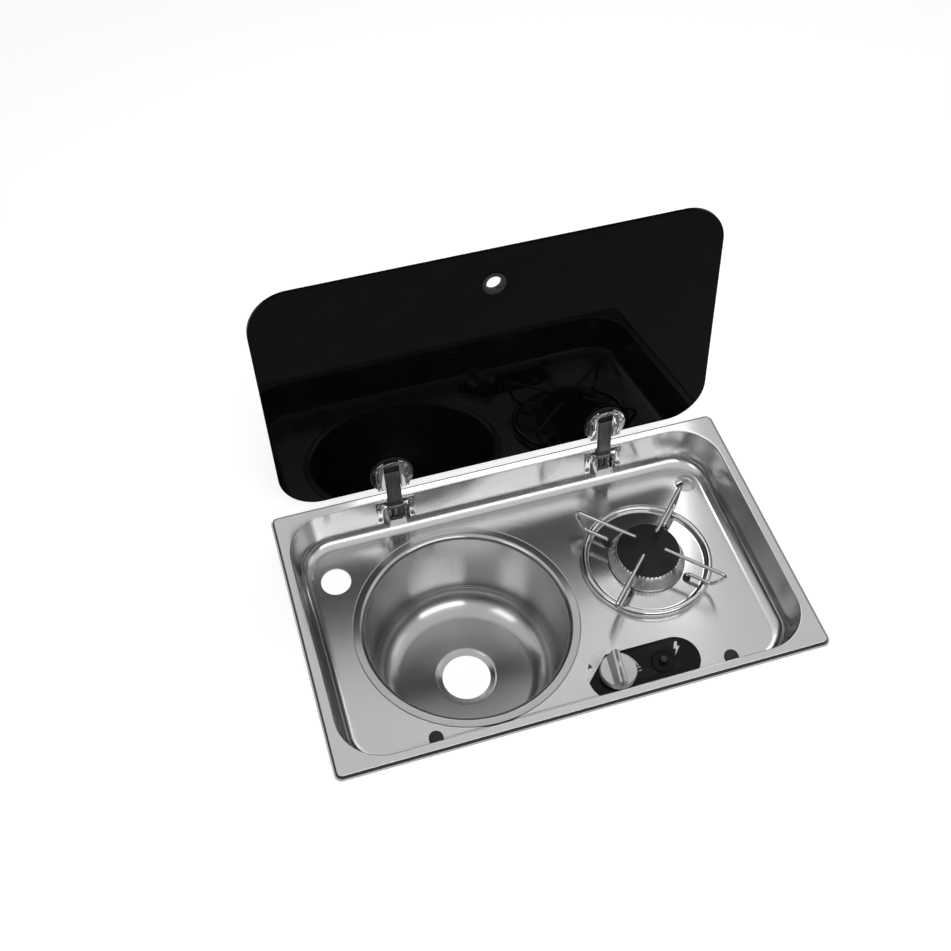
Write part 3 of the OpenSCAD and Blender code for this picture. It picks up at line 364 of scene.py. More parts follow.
def grained(name, settings, grain_mm, rough, tone, stretch=(1, 1, 1), bump_mm=0.0,
            coords="Object", blotch_mm=40, brushed=None):
    """A finish whose grain is noise stretched along the tool's path. The same noise moves the
    roughness between two values, tints the colour a little together with a wide cloud, and
    lifts the surface by a real height. Brushing smears each reflection across its lines:
    brushed is "round" for a turned piece, or a direction square to the lines."""
    material, tree, shader = finish_of(name, settings)
    if brushed == "round":
        lines = put(tree, "Tangent", {"direction_type": "RADIAL", "axis": "Z"})
        tree.links.new(lines.outputs["Tangent"], shader.inputs["Tangent"])
        shader.inputs["Anisotropic Rotation"].default_value = 0.25
    elif brushed:
        lines = put(tree, "CombineXYZ", dict(zip("XYZ", brushed)))
        tree.links.new(lines.outputs["Vector"], shader.inputs["Tangent"])
    if coords == "Object":
        source = put(tree, "TexCoord").outputs["Object"]
    else:
        source = put(tree, "Attribute", {"attribute_name": coords}).outputs["Vector"]
    mapping = put(tree, "Mapping", Vector=source)
    mapping.inputs["Scale"].default_value = stretch
    noise = put(tree, "TexNoise", {"Scale": 1 / (grain_mm * MM), "Detail": 3.0},
                Vector=mapping.outputs["Vector"])
    cloud = put(tree, "TexNoise", {"Scale": 1 / (blotch_mm * MM), "Detail": 2.0}, Vector=source)
    spread = put(tree, "MapRange", {"To Min": rough[0], "To Max": rough[1], "From Min": 0.3,
                                    "From Max": 0.7}, Value=noise.outputs["Fac"])
    tree.links.new(spread.outputs["Result"], shader.inputs["Roughness"])
    mixed = put(tree, "Mix", {"data_type": "RGBA", 6: linear(tone[0]), 7: linear(tone[1])})
    both = put(tree, "Math", {"operation": "ADD"}, _0=noise.outputs["Fac"],
               _1=cloud.outputs["Fac"])
    share = put(tree, "MapRange", {"From Min": 0.7, "From Max": 1.3}, Value=both.outputs[0])
    tree.links.new(share.outputs["Result"], mixed.inputs[0])
    tree.links.new(mixed.outputs[2], shader.inputs["Base Color"])
    if bump_mm:
        bump = put(tree, "Bump", {"Distance": bump_mm * MM, "Strength": 1.0},
                   Height=noise.outputs["Fac"])
        tree.links.new(bump.outputs["Normal"], shader.inputs["Normal"])
    return material


print("white is", linear("#FFFFFF")[:3])

# %% The metals
METAL = {"Metallic": 1.0}
# Satin stainless: cold-rolled sheet, ground along its length, so the grain runs along X and
# every reflection is drawn out across it.
satin_stainless = grained(
    "satin stainless, ground", {**METAL, "Anisotropic": 0.88}, stretch=(0.02, 1, 1),
    grain_mm=0.45, rough=(0.17, 0.182), tone=("#C9C9C9", "#CCCCCC"), brushed=(0, 1, 0.3))
# Deep-drawn stainless: spun and brushed round the bowl's axis, so the grain follows a ring.
drawn_stainless = grained(
    "deep-drawn stainless, brushed round", {**METAL, "Anisotropic": 0.8},
    grain_mm=0.5, rough=(0.18, 0.21), tone=("#B7B7B7", "#BABABA"), coords="brush",
    brushed="round")
# Mirror-polished stainless: almost no grain, only a faint orange peel from the press.
polished_stainless = grained(
    "polished stainless", METAL, grain_mm=3, rough=(0.03, 0.06),
    tone=("#C2C2C2", "#C8C8C8"), bump_mm=0.0004)
# Buffed stainless of the dish: pressed and then wheel-buffed, so it mirrors softly.
buffed_stainless = grained(
    "buffed stainless", METAL, grain_mm=6, rough=(0.11, 0.13), tone=("#C8C8C8", "#CCCCCC"))
# Bright nickel-chrome plating over zinc castings and stampings: sharp, cool mirror glints.
bright_plating = grained(
    "nickel-chrome plating", METAL, grain_mm=3, rough=(0.05, 0.08),
    tone=("#BDBDBF", "#C8C8CA"), bump_mm=0.0006)
# Zinc-plated screws, nuts and pins: a soft grey shine.
zinc_plating = grained(
    "zinc plating", METAL, grain_mm=0.6, rough=(0.28, 0.42),
    tone=("#9C9EA0", "#AEB0B2"), bump_mm=0.004)
# Pressure-cast aluminium, turned after casting: a pale, soft sheen round the crown. The cup and
# the mixing tube under the tray have the same finish.
cast_aluminium = grained(
    "cast aluminium, machined", {**METAL, "Anisotropic": 0.8}, grain_mm=0.5,
    rough=(0.22, 0.27), tone=("#D2D3D4", "#DCDDDE"), bump_mm=0.001, brushed="round")
# Dark phosphated steel of the arms and springs: drawn strip, grey-black with a dull shine.
dark_steel = grained(
    "phosphated steel", {"Metallic": 0.9}, stretch=(1, 0.05, 0.05), grain_mm=0.9,
    rough=(0.3, 0.42), tone=("#545558", "#7A7B7E"), bump_mm=0.004)
# Turned brass of the valve, its spindle and the unions: warm, with fine lathe lines.
turned_brass = grained(
    "turned brass", METAL, stretch=(1, 1, 0.2), grain_mm=0.4, rough=(0.22, 0.34),
    tone=("#B79A55", "#C7AB66"), bump_mm=0.003)
# Drawn copper of the pipes and the thermocouple: a reddish, slightly clouded shine.
drawn_copper = grained(
    "drawn copper pipe", METAL, grain_mm=1.5, rough=(0.2, 0.32),
    tone=("#B7795A", "#C5876A"), bump_mm=0.003)
print("metals:", len(bpy.data.materials))

# %% Glass, enamel, rubber, plastics and inks
NON_METAL = {"Metallic": 0.0, "IOR": 1.5}
# Vitreous enamel, matt black: a fine orange peel.
matt_enamel = grained(
    "matt vitreous enamel", {**NON_METAL, "Specular IOR Level": 0.35},
    grain_mm=0.5, rough=(0.42, 0.55), tone=("#101011", "#17171A"), bump_mm=0.01)
# Black nitrile rubber, moulded: a dull skin that hardly shines.
moulded_rubber = grained(
    "moulded black rubber", NON_METAL, grain_mm=0.3, rough=(0.5, 0.7),
    tone=("#0B0B0C", "#131314"), bump_mm=0.01)
# Black float glass, printed on its back: a mirror-smooth face over a black ground.
black_glass = grained(
    "black printed float glass", {"Metallic": 0.0, "IOR": 1.52, "Specular IOR Level": 0.045},
    grain_mm=30, rough=(0.012, 0.03), tone=("#030304", "#060607"), blotch_mm=120)
# Gloss black lacquer, printed on the control panel: deep black with a soft reflection.
black_lacquer = grained(
    "gloss black lacquer", {**NON_METAL, "Specular IOR Level": 0.15},
    grain_mm=1.2, rough=(0.28, 0.34), tone=("#08080A", "#0F0F11"), bump_mm=0.002)
# Silver paint on an ABS knob: small metal flakes in a satin coat.
silver_paint = grained(
    "silver painted ABS", {"Metallic": 0.75, "IOR": 1.5}, grain_mm=0.25, rough=(0.3, 0.4),
    tone=("#B3B3B2", "#C3C3C2"), bump_mm=0.003)
# White ABS of the pointer strip, moulded: an even, slightly silky white.
white_abs = grained(
    "white moulded ABS", NON_METAL, grain_mm=0.4, rough=(0.3, 0.4),
    tone=("#DCDCD8", "#E6E6E2"), bump_mm=0.003)
# Black ABS of the igniter, moulded, also the sleeve of its lead: black with a low shine.
black_abs = grained(
    "black moulded ABS", {**NON_METAL, "Specular IOR Level": 0.15},
    grain_mm=0.4, rough=(0.3, 0.4), tone=("#0B0B0D", "#101012"), bump_mm=0.004)
# Dark red ABS of the igniter's button, moulded in a polished tool: a small clear highlight.
dark_red_abs = grained(
    "dark red moulded ABS", NON_METAL, grain_mm=0.4, rough=(0.12, 0.2),
    tone=("#1F0B0C", "#270F10"), bump_mm=0.002)
# Glazed ceramic of the electrode, dipped and fired: ivory under a clear glaze.
glazed_ceramic = grained(
    "glazed ceramic", {**NON_METAL, "Coat Weight": 0.4}, grain_mm=1.0,
    rough=(0.15, 0.25), tone=("#E4E0D4", "#EEEADF"), bump_mm=0.003)
# Inks of the panel, laid through a screen: flat and dull, the silver one with coarse flakes.
printed_ink = grained(
    "screen-printed pale ink", NON_METAL, grain_mm=0.5, rough=(0.4, 0.5),
    tone=("#C9C9C6", "#D6D6D3"))
silver_print = grained(
    "silver screen print", {"Metallic": 0.2}, grain_mm=1.1, rough=(0.35, 0.45),
    tone=("#BDBDBD", "#F4F4F4"))
dark_ink = grained(
    "screen-printed dark ink", NON_METAL, grain_mm=0.5, rough=(0.4, 0.5),
    tone=("#3A3A3C", "#454547"))
print("finishes:", len(bpy.data.materials))

# %% [markdown]
# ## Camera, light and floor
# The photograph was taken from the front and a little to the left, looking down at about 55
# degrees. The unit lies in a white worktop, which is the stage, so the floor has the cut-out
# that the real one would have and the bowl hangs below it. Steel shows the room more than
# itself: a white horizon, a dark band of room, a pale ceiling and four soft boxes give it the
# bright and dark bands of the photograph.

# %% Camera
# The lens and the place were solved from the tray's corners and holes in the photograph.
FOCAL_PX, FRAME_PX = 1207, 951
CENTRE_PX = (477, 507)
AZIMUTH, ELEVATION, ROLL = np.radians([-17.80, 54.88, 0.99])
camera_at = np.array([-292.84, -665.37, 1170.85]) * MM
back = np.array([math.sin(AZIMUTH) * math.cos(ELEVATION),
                 -math.cos(AZIMUTH) * math.cos(ELEVATION), math.sin(ELEVATION)])
right = np.cross(-back, [0, 0, 1])
right /= np.linalg.norm(right)
above = np.cross(right, -back)
# The picture's own right and up, turned by the roll.
turned_x = math.cos(ROLL) * right + math.sin(ROLL) * above
turned_y = -math.sin(ROLL) * right + math.cos(ROLL) * above
lens = bpy.data.cameras.new("camera")
lens.lens = FOCAL_PX / FRAME_PX * lens.sensor_width
lens.shift_x = -(CENTRE_PX[0] - FRAME_PX / 2) / FRAME_PX
lens.shift_y = (CENTRE_PX[1] - FRAME_PX / 2) / FRAME_PX
lens.clip_start, lens.clip_end = 0.01, 50


def place_matrix(x_axis, y_axis, z_axis, origin):
    """The matrix whose columns are three axes and an origin."""
    place = np.eye(4)
    place[:3, 0], place[:3, 1], place[:3, 2], place[:3, 3] = x_axis, y_axis, z_axis, origin
    return Matrix(place.tolist())


scene = bpy.context.scene
camera = bpy.data.objects.new("camera", lens)
scene.collection.objects.link(camera)
camera.matrix_world = place_matrix(turned_x, turned_y, back, camera_at)
scene.camera = camera
print("lens", round(lens.lens, 2), "mm")

# %% World
scene.view_settings.view_transform = "Standard"
world = bpy.data.worlds.new("studio")
scene.world = world
world.use_nodes = True
sky = world.node_tree
sky.nodes.clear()
direction = put(sky, "SeparateXYZ", Vector=put(sky, "TexCoord").outputs["Generated"])
room = put(sky, "ValToRGB", Fac=direction.outputs["Z"])
# Heights are the sine of the elevation: a white horizon, a dark room above it, a pale ceiling.
ROOM = [(0.12, 1.0), (0.18, 0.05), (0.38, 0.05), (0.7, 0.82)]
stops = room.color_ramp.elements
for height, grey in ROOM[1:-1]:
    stops.new(height)
for stop, (height, grey) in zip(stops, ROOM):
    stop.position, stop.color = height, (grey, grey, grey, 1)
below = put(sky, "Math", {"operation": "LESS_THAN", 1: 0.0}, _0=direction.outputs["Z"])
shade = put(sky, "Mix", {"data_type": "RGBA", 7: (1, 1, 1, 1)}, _0=below.outputs[0],
            _6=room.outputs["Color"])
plain = put(sky, "Background", {"Strength": 1.0}, Color=shade.outputs[2])
put(sky, "OutputWorld", Surface=plain.outputs[0])
print("sky stops:", len(stops))


# %% Lamps
def area_lamp(name, at, aim, size, watts):
    """A soft box at a point, turned so that its face looks at another point."""
    data = bpy.data.lights.new(name, "AREA")
    data.shape, data.size, data.size_y, data.energy = "RECTANGLE", size[0], size[1], watts
    lamp = bpy.data.objects.new(name, data)
    scene.collection.objects.link(lamp)
    z_axis = np.array(at, float) - np.array(aim, float)
    z_axis /= np.linalg.norm(z_axis)
    x_axis = np.cross([0, 0, 1], z_axis)
    x_axis /= np.linalg.norm(x_axis)
    lamp.matrix_world = place_matrix(x_axis, np.cross(z_axis, x_axis), z_axis, at)


# Each lamp has its place, the point that it looks at, its width and height, and its watts. The
# front box lights the rear wall, the strip behind gives the flange and the floor their sheen,
# and the two side boxes keep the end walls from going black.
LAMPS = {
    "front soft box": ((0.45, -2.0, 1.86), (0.1, 0.1, 0.0), (2.1, 0.62), 14),
    "rear strip box": ((0.21, 0.6, 0.69), (0.1, 0.13, 0.0), (0.64, 0.26), 1.3),
    "left soft box": ((-1.3, -0.5, 1.5), (-0.1, 0, -0.1), (0.7, 0.7), 2.4),
    "right soft box": ((1.7, -0.2, 1.2), (0.1, 0, 0), (0.8, 1.2), 1.3),
}
for lamp_name, lamp_values in LAMPS.items():
    area_lamp(lamp_name, *lamp_values)

# %% Worktop as the floor
CUT_X, CUT_Y, CUT_R = 274, 164, 6
FLOOR_HALF = 3000
# The worktop lies a hair under the lip, so that the two faces never share a plane.
WORKTOP_Z = -0.05
# Its grey is linear, about #EFEFEF, and it glows a little, so that it renders near white.
WORKTOP_GREY, WORKTOP_GLOW = 0.86, 0.36
inner = rounded_rect(CUT_X, CUT_Y, CUT_R, 6)
outer = inner / np.abs(inner).max(1, keepdims=True) * FLOOR_HALF
floor_grid = np.stack([at_height(inner, WORKTOP_Z), at_height(outer, WORKTOP_Z)], 1)
floor_mesh = surface("worktop", floor_grid, wrap_u=True)
floor = bpy.data.objects.new("worktop", floor_mesh)
scene.collection.objects.link(floor)
floor_finish, floor_tree, floor_shader = finish_of(
    "white worktop", {"Base Color": (WORKTOP_GREY,) * 3 + (1,), "Roughness": 0.9})
glow = put(floor_tree, "Emission", {"Color": (1, 1, 1, 1), "Strength": WORKTOP_GLOW})
lit = put(floor_tree, "AddShader", _0=floor_shader.outputs[0], _1=glow.outputs[0])
floor_tree.links.new(lit.outputs[0], floor_tree.nodes["Material Output"].inputs["Surface"])
floor_mesh.materials.append(floor_finish)
print("worktop cut-out is", 2 * CUT_X, "x", 2 * CUT_Y, "mm")

# %% [markdown]
# ## The pressed tray
# One blank of 0.8 mm stainless is drawn in a press: the outer lip lies on the worktop, a small
# step lifts the flange, and the recess drops to the floor through a wall that leans inward and
# a generous bend. Because every level of it is a rounded rectangle, the whole pressing is a
# stack of rounded rectangles joined in order, one parameter round the outline and one down the
# section. The floor is then filled in, with its holes left open, and the sheet gets its gauge.

# %% Section of the pressing
# The lip's corners shrink a little slower than the lip is drawn in.
CORNER_SHARE = 0.9


def lip_level(inset, z):
    """The lip's outline, drawn in by an inset, at a height."""
    return at_height(rounded_rect(LIP_W / 2 - inset, LIP_D / 2 - inset,
                                  LIP_R - CORNER_SHARE * inset), z)


def recess_level(out, z):
    """The recess's opening, grown by a distance, at a height."""
    return at_height(rounded_rect(OPEN_X + out, OPEN_Y + out, OPEN_R + out), z)


# Inset and height, from the lip's edge over the step to the flange.
LIP_SECTION = [(0, 0), (0, 0.55), (0.25, SHEET), (2.7, SHEET), (3.2, 1.0), (STEP_IN, 1.5),
               (STEP_IN, 3.9), (3.75, 4.5), (4.3, FLANGE_Z), (5.5, FLANGE_Z)]
EDGE_R = 1.6
wall_fall = (FLANGE_Z - FLOOR_Z - BEND_R * (1 - math.sin(LEAN))) / math.cos(LEAN)
bend_in = wall_fall * math.sin(LEAN) + BEND_R * math.cos(LEAN)
# The opening's edge is rolled. Its centre is one radius from the flange's top and from the wall.
edge_in = EDGE_R / math.cos(LEAN) - EDGE_R * math.tan(LEAN)
edge = arc(edge_in, FLANGE_Z - EDGE_R, EDGE_R, 90, 180 - math.degrees(LEAN), 10)
bend = arc(-bend_in, FLOOR_Z + BEND_R, BEND_R, -math.degrees(LEAN), -90, 24)
# A short flat before the edge and one after the bend keep both level parts flat in shading.
recess_section = chain((edge_in + 1.5, FLANGE_Z), edge, held(edge[-1], bend[0]), bend,
                       (-bend_in - 2.0, FLOOR_Z))
tray_grid = np.stack([lip_level(inset, z) for inset, z in LIP_SECTION]
                     + [recess_level(out, z) for out, z in recess_section], 1)
print("tray section has", tray_grid.shape[1], "levels; flat floor starts",
      round(bend_in, 1), "mm in")

# %% Floor with its holes
# Each hole has its centre, its radius in the floor, and its number of points.
HOLES = [(*BOWL, 132.6, 160), (*BURNER, 42, 96), (*TAP, 18.9, 64)]
# Below the floor, the bowl's hole has a lowered seat for the rim, and the tap's a rolled edge.
BOWL_COLLAR = [(132.6, 0), (131.9, 0), (131.2, -0.25), (130.95, -0.9), (130.9, -1.3),
               (124.4, -1.3)]
TAP_COLLAR = [(18.9, 0), (18.3, 0), (17.75, -0.18), (17.5, -0.7)]
FLOOR_TOLERANCE = 1e-6
faces = grid_faces(*tray_grid.shape[:2], True, False).tolist()
tray_mesh = raw_mesh("tray", tray_grid.reshape(-1, 3), faces)
bm = bmesh.new()
bm.from_mesh(tray_mesh)
fill_between(bm, [tray_grid[:, -1]] + [ring_points(x, y, r, FLOOR_Z, n) for x, y, r, n in HOLES])
wall_between(bm, [ring_points(*BOWL, r, FLOOR_Z + z, 160) for r, z in BOWL_COLLAR])
wall_between(bm, [ring_points(*TAP, r, FLOOR_Z + z, 64) for r, z in TAP_COLLAR])
bmesh.ops.remove_doubles(bm, verts=bm.verts, dist=0.01 * MM)
bmesh.ops.recalc_face_normals(bm, faces=bm.faces)
floor_faces = [face for face in bm.faces
               if abs(face.calc_center_median().z - FLOOR_Z * MM) < FLOOR_TOLERANCE]
if sum(face.normal.z for face in floor_faces) < 0:
    bmesh.ops.reverse_faces(bm, faces=bm.faces)
bm.to_mesh(tray_mesh)
bm.free()
tray = add_object("tray_pressing", tray_mesh, "hob_sink", ("tray",),
                  satin_stainless)
gauge = tray.modifiers.new("sheet gauge", "SOLIDIFY")
gauge.thickness, gauge.offset, gauge.use_even_offset = SHEET * MM, -1, False
bake_modifiers(tray)
smooth_all_but(tray.data, SHARP_DEG)
print("tray faces:", len(tray.data.polygons))

# %% [markdown]
# ## The sealing bead, black for the seal and for painted shade
# A black bead lies all round in the corner between the flange and the lip, where it keeps water
# off the worktop's edge. It fills the step's height, so it shows as a dark line under the
# flange. That black is partly the rubber and partly painted shade of the gap under the flange's
# edge. It is one section carried round the lip.

# %% Sealing bead in the step, black for the seal and for painted shade
BEAD_CORNERS = [(3.48, 0.82), (3.48, 4.35), (2.95, 4.35), (1.7, 0.82)]
BEAD_ROUNDING = [0, 0.2, 0.5, 0.1]
bead_section = round_corners(BEAD_CORNERS, BEAD_ROUNDING, 4)
bead_grid = np.stack([lip_level(inset, z) for inset, z in bead_section], 1)
bead_mesh = surface("seal_and_painted_shade", bead_grid, wrap_u=True, wrap_v=True)
# The bead's black rubber also paints the shade of the gap under the flange's edge.
add_object("sealing_bead_and_painted_shade", bead_mesh, "hob_sink", (), moulded_rubber)
print("sealing bead points:", len(bead_mesh.vertices))

# %% [markdown]
# ## The bowl
# The bowl is drawn deep in several strokes and then brushed on a lathe. Its section runs from
# the flat rim over a small roll, down a wall with a few degrees of draft, through the shallow
# rings that the draw leaves, round a wide foot bend and along a gently falling bottom to the
# stepped seat of the drain. It is a turned form, and the angle and the place down the section
# are kept with each point, because the brushing follows them.

# %% Bowl
MOUTH_R, ROLL_R, DRAFT, FOOT_R, FALL = 118, 6, math.radians(3), 34, math.radians(2)
RIM_R = 130.7
SEAT_R, DRAIN_R, SEAT_Z = 37, 30, FLOOR_Z - 137
RING_COUNT, RINGS_DEG, RING_RISE = 3, 19, 0.14
RIM_Z, EDGE_Z = FLOOR_Z + 0.3, SEAT_Z + 2
roll_z = RIM_Z - ROLL_R
# The foot's centre is one foot radius from the leaning wall and from the falling bottom.
foot_x = (MOUTH_R - roll_z * math.tan(DRAFT) - FOOT_R / math.cos(DRAFT)
          + math.tan(DRAFT) * (EDGE_Z - SEAT_R * math.tan(FALL) + FOOT_R / math.cos(FALL))
          ) / (1 - math.tan(DRAFT) * math.tan(FALL))
foot_z = EDGE_Z + (foot_x - SEAT_R) * math.tan(FALL) + FOOT_R / math.cos(FALL)
roll_x = MOUTH_R + ROLL_R / math.cos(DRAFT)


def foot_bend(r):
    """The foot's arc with shallow draw rings where it leaves the wall: the radius at angle a is
    r + h sin(3 * 2 pi s), with s from 0 to 1 over the rings' part of the arc."""
    degrees = np.linspace(-math.degrees(DRAFT), -90 + math.degrees(FALL), 120)
    s = np.clip((-math.degrees(DRAFT) - degrees) / RINGS_DEG, 0, 1)
    radius = r + RING_RISE * np.sin(RING_COUNT * TAU * s)
    a = np.radians(degrees)
    return np.stack([foot_x + radius * np.cos(a), foot_z + radius * np.sin(a)], -1)


def bowl_section(off):
    """The bowl's section, moved by off square to the sheet on its underside. The last points
    are the seat: a rounded step down from the bottom, and a flat round the drain hole."""
    roll = arc(roll_x, roll_z, ROLL_R - off, 90, 180 - math.degrees(DRAFT), 16)
    foot = foot_bend(FOOT_R + off)
    seat_edge = (SEAT_R + 1.6 + off * 0.4, EDGE_Z - off)
    return chain(
        (RIM_R, RIM_Z - off), roll, held(roll[-1], foot[0]), foot, held(foot[-1], seat_edge),
        seat_edge, (SEAT_R + 0.4, EDGE_Z - 0.5 - off),
        (SEAT_R - 0.6, SEAT_Z + 0.9 - off), (SEAT_R - 2.2, SEAT_Z + 0.35 - off),
        (SEAT_R - 3.6, SEAT_Z + 0.3 - off), (SEAT_R - 4.2, SEAT_Z - off),
        (DRAIN_R + 0.5, SEAT_Z - off), (DRAIN_R, SEAT_Z - 0.25 - off * 0.6))


bowl_profile = chain(bowl_section(0), bowl_section(SHEET)[::-1])
bowl_mesh = revolve("bowl", bowl_profile, BOWL, 192, sharp_deg=SHARP_DEG)
# The brushing is squeezed to a ring of 4 mm radius, so that its grain is long round the bowl.
RING_SQUEEZE = 0.004


def ring_grain(mesh, centre):
    """Stores (radius plus height, then the angle's cosine and sine times the squeeze) with each
    point, so that noise read from it runs round the axis as brushing does."""
    place = np.empty(len(mesh.vertices) * 3)
    mesh.vertices.foreach_get("co", place)
    place = place.reshape(-1, 3)
    x, y = place[:, 0] - centre[0] * MM, place[:, 1] - centre[1] * MM
    r = np.hypot(x, y)
    safe_r = np.maximum(r, 1e-6)
    brush = np.stack([r + place[:, 2], RING_SQUEEZE * x / safe_r, RING_SQUEEZE * y / safe_r], -1)
    data = mesh.attributes.new("brush", "FLOAT_VECTOR", "POINT")
    data.data.foreach_set("vector", brush.astype(np.float32).ravel())


ring_grain(bowl_mesh, BOWL)
add_object("drawn_bowl", bowl_mesh, "hob_sink", ("bowl",), drawn_stainless)
print("bowl depth below the floor:", round(FLOOR_Z - SEAT_Z, 1), "mm")

# %% [markdown]
# ## The burner
# A buffed dish is pressed with a raised bead that the pan support lies on. The crown is an
# aluminium casting whose skirt is machined and whose rim is slotted for the flames, and the
# enamelled cap lies on it by its own weight.

# %% Dish with its bead
DISH_Z = FLOOR_Z + 4
DISH_R, BEAD_R, DISH_HOLE_R, DISH_BEND_R = 78.4, 4, 42.5, 1.5
BEAD_Z = DISH_Z + 6.2
bead_c = (DISH_R - BEAD_R, BEAD_Z - BEAD_R)
# Two points on the flat ring keep it flat in shading beside the bend and the hole.
FLAT_FROM, FLAT_TO = 67.6, 43.5
dish_profile = chain(
    (DISH_R - 0.2, FLOOR_Z + 0.02), (DISH_R, FLOOR_Z + 0.3), arc(*bead_c, BEAD_R, 0, 180, 32),
    arc(bead_c[0] - BEAD_R - DISH_BEND_R, DISH_Z + DISH_BEND_R, DISH_BEND_R, 0, -90, 6),
    (FLAT_FROM, DISH_Z), (FLAT_TO, DISH_Z), (DISH_HOLE_R, DISH_Z), (DISH_HOLE_R, DISH_Z - SHEET),
    (bead_c[0] - BEAD_R - DISH_BEND_R, DISH_Z - SHEET), (bead_c[0] - BEAD_R + SHEET, DISH_Z + 1.0),
    arc(*bead_c, BEAD_R - SHEET, 180, 0, 20), (DISH_R - SHEET, FLOOR_Z + 0.02))
dish_mesh = revolve("dish", dish_profile, BURNER, 192, sharp_deg=SHARP_DEG)
add_object("burner_dish_polished", dish_mesh, "hob_sink", ("burner_dish",),
           buffed_stainless)
print("bead top at", round(BEAD_Z, 2), "mm")

# %% Crown and cap
softened("crown_casting", "burner_crown", "hob_sink", cast_aluminium, 0, "cast_aluminium",
         sharp_deg=28)
CROWN_Z = DISH_Z + 20.6
CAP_R, CAP_Z, CAP_DOME = 37.3, CROWN_Z + 2, 1.0
# The top falls from the middle by the dome's height times the square of the radius's share.
share = np.linspace(1, 0, 24)
cap_top = np.stack([share * (CAP_R - 0.5), CAP_Z - CAP_DOME * share**2], -1)
cap_profile = chain((0, CROWN_Z - 3), (CAP_R - 5, CROWN_Z - 3), (CAP_R - 4.9, CROWN_Z),
                    (CAP_R - 0.4, CROWN_Z), (CAP_R, CROWN_Z + 0.35),
                    (CAP_R, CAP_Z - CAP_DOME - 0.3), (CAP_R - 0.15, CAP_Z - CAP_DOME - 0.08),
                    cap_top)
add_object("cap_enamelled", revolve("cap", cap_profile, BURNER, 128, closed=False),
           "hob_sink", ("burner_cap",), matt_enamel)
print("cap top at", round(CAP_Z, 2), "mm")

# %% [markdown]
# ## The pan support
# Four fingers of 4.4 mm polished wire are bent over a former: out along the top, round a tight
# turn, back down on a slant, over the bead, and down into a rubber foot. Each is a round tube
# carried along one flat path, so the wire keeps its thickness through every bend.

# %% Fingers
WIRE_R = 2.2
LOWER_Z = BEAD_Z + WIRE_R
UPPER_Z = LOWER_Z + 28
TIP_R, REACH, FOOT_RING = 16.5, 94.5, 52
TURN_R, FOOT_BEND_R = 5, 3.5
TURN_END = math.radians(-40)
TIP_ROUNDING, PATH_STEP = 1.6, 2.0
FINGER_ANGLES = np.radians([45, 135, 225, 315])
turn_end = np.array([REACH - TURN_R + TURN_R * math.cos(TURN_END),
                     UPPER_Z - TURN_R + TURN_R * math.sin(TURN_END)])
finger_path = chain(
    (TIP_R + 0.6, UPPER_Z), (REACH - TURN_R, UPPER_Z),
    arc(REACH - TURN_R, UPPER_Z - TURN_R, TURN_R, 84, -40, 12),
    round_corners([turn_end, (REACH - 12, LOWER_Z), (FOOT_RING + FOOT_BEND_R, LOWER_Z)],
                  [0, 5, 0], 8, closed=False)[1:],
    arc(FOOT_RING + FOOT_BEND_R, LOWER_Z - FOOT_BEND_R, FOOT_BEND_R, 98, 180, 8),
    (FOOT_RING, DISH_Z - 1.9))
steps = np.linalg.norm(np.diff(finger_path, axis=0), axis=1)
reached = np.concatenate([[0], np.cumsum(steps)])
fine = np.unique(np.concatenate([reached, np.arange(0, reached[-1], PATH_STEP)]))
finger_out, finger_z = (np.interp(fine, reached, finger_path[:, k]) for k in (0, 1))
# At the tip the wire's radius follows a quarter circle: sqrt(1 - (1 - s)^2).
tip_share = np.clip((fine + 0.02) / TIP_ROUNDING, 0, 1)
wire_radius = WIRE_R * np.sqrt(1 - (1 - tip_share) ** 2)
finger_meshes = []
for a in FINGER_ANGLES:
    line = np.stack([BURNER[0] + finger_out * math.cos(a), BURNER[1] + finger_out * math.sin(a),
                     finger_z], -1)
    finger_meshes.append(tube("finger", line, wire_radius, (-math.sin(a), math.cos(a), 0), 24))
add_object("pan_fingers_wire", joined("fingers", finger_meshes), "hob_sink",
           ("pan_fingers",), polished_stainless)
print("pan support top at", round(UPPER_Z + WIRE_R, 2), "mm")

# %% Feet
# A foot has a lug under the dish, a neck through its hole and a rounded head above it.
HEAD_R, LUG_R, NECK_R = 4.5, 4.2, 3.2
foot_profile = chain((WIRE_R + 0.02, DISH_Z - 2.2), (LUG_R - 0.2, DISH_Z - 2.2),
                     (LUG_R, DISH_Z - 2.0), (LUG_R, DISH_Z - 0.9), (NECK_R, DISH_Z - 0.8),
                     (NECK_R, DISH_Z), (HEAD_R - 0.2, DISH_Z), (HEAD_R, DISH_Z + 0.3),
                     (HEAD_R, DISH_Z + 3.0), arc(HEAD_R - 0.9, DISH_Z + 3.1, 0.9, 0, 90, 6),
                     (WIRE_R + 0.5, DISH_Z + 4.0), (WIRE_R + 0.02, DISH_Z + 3.7))
feet = [revolve("foot", foot_profile,
                (BURNER[0] + FOOT_RING * math.cos(a), BURNER[1] + FOOT_RING * math.sin(a)), 40)
        for a in FINGER_ANGLES]
add_object("pan_feet_rubber", joined("feet", feet), "hob_sink", ("pan_feet",),
           moulded_rubber)
print("rubber feet:", len(feet))

# %% [markdown]
# ## Washer and screw behind the burner
# A polished domed washer under a cross-head screw holds the tray down at its rear corner. The
# dome is a turned form whose height falls with a power of the radius, nearly flat at the screw
# and steep at the edge.

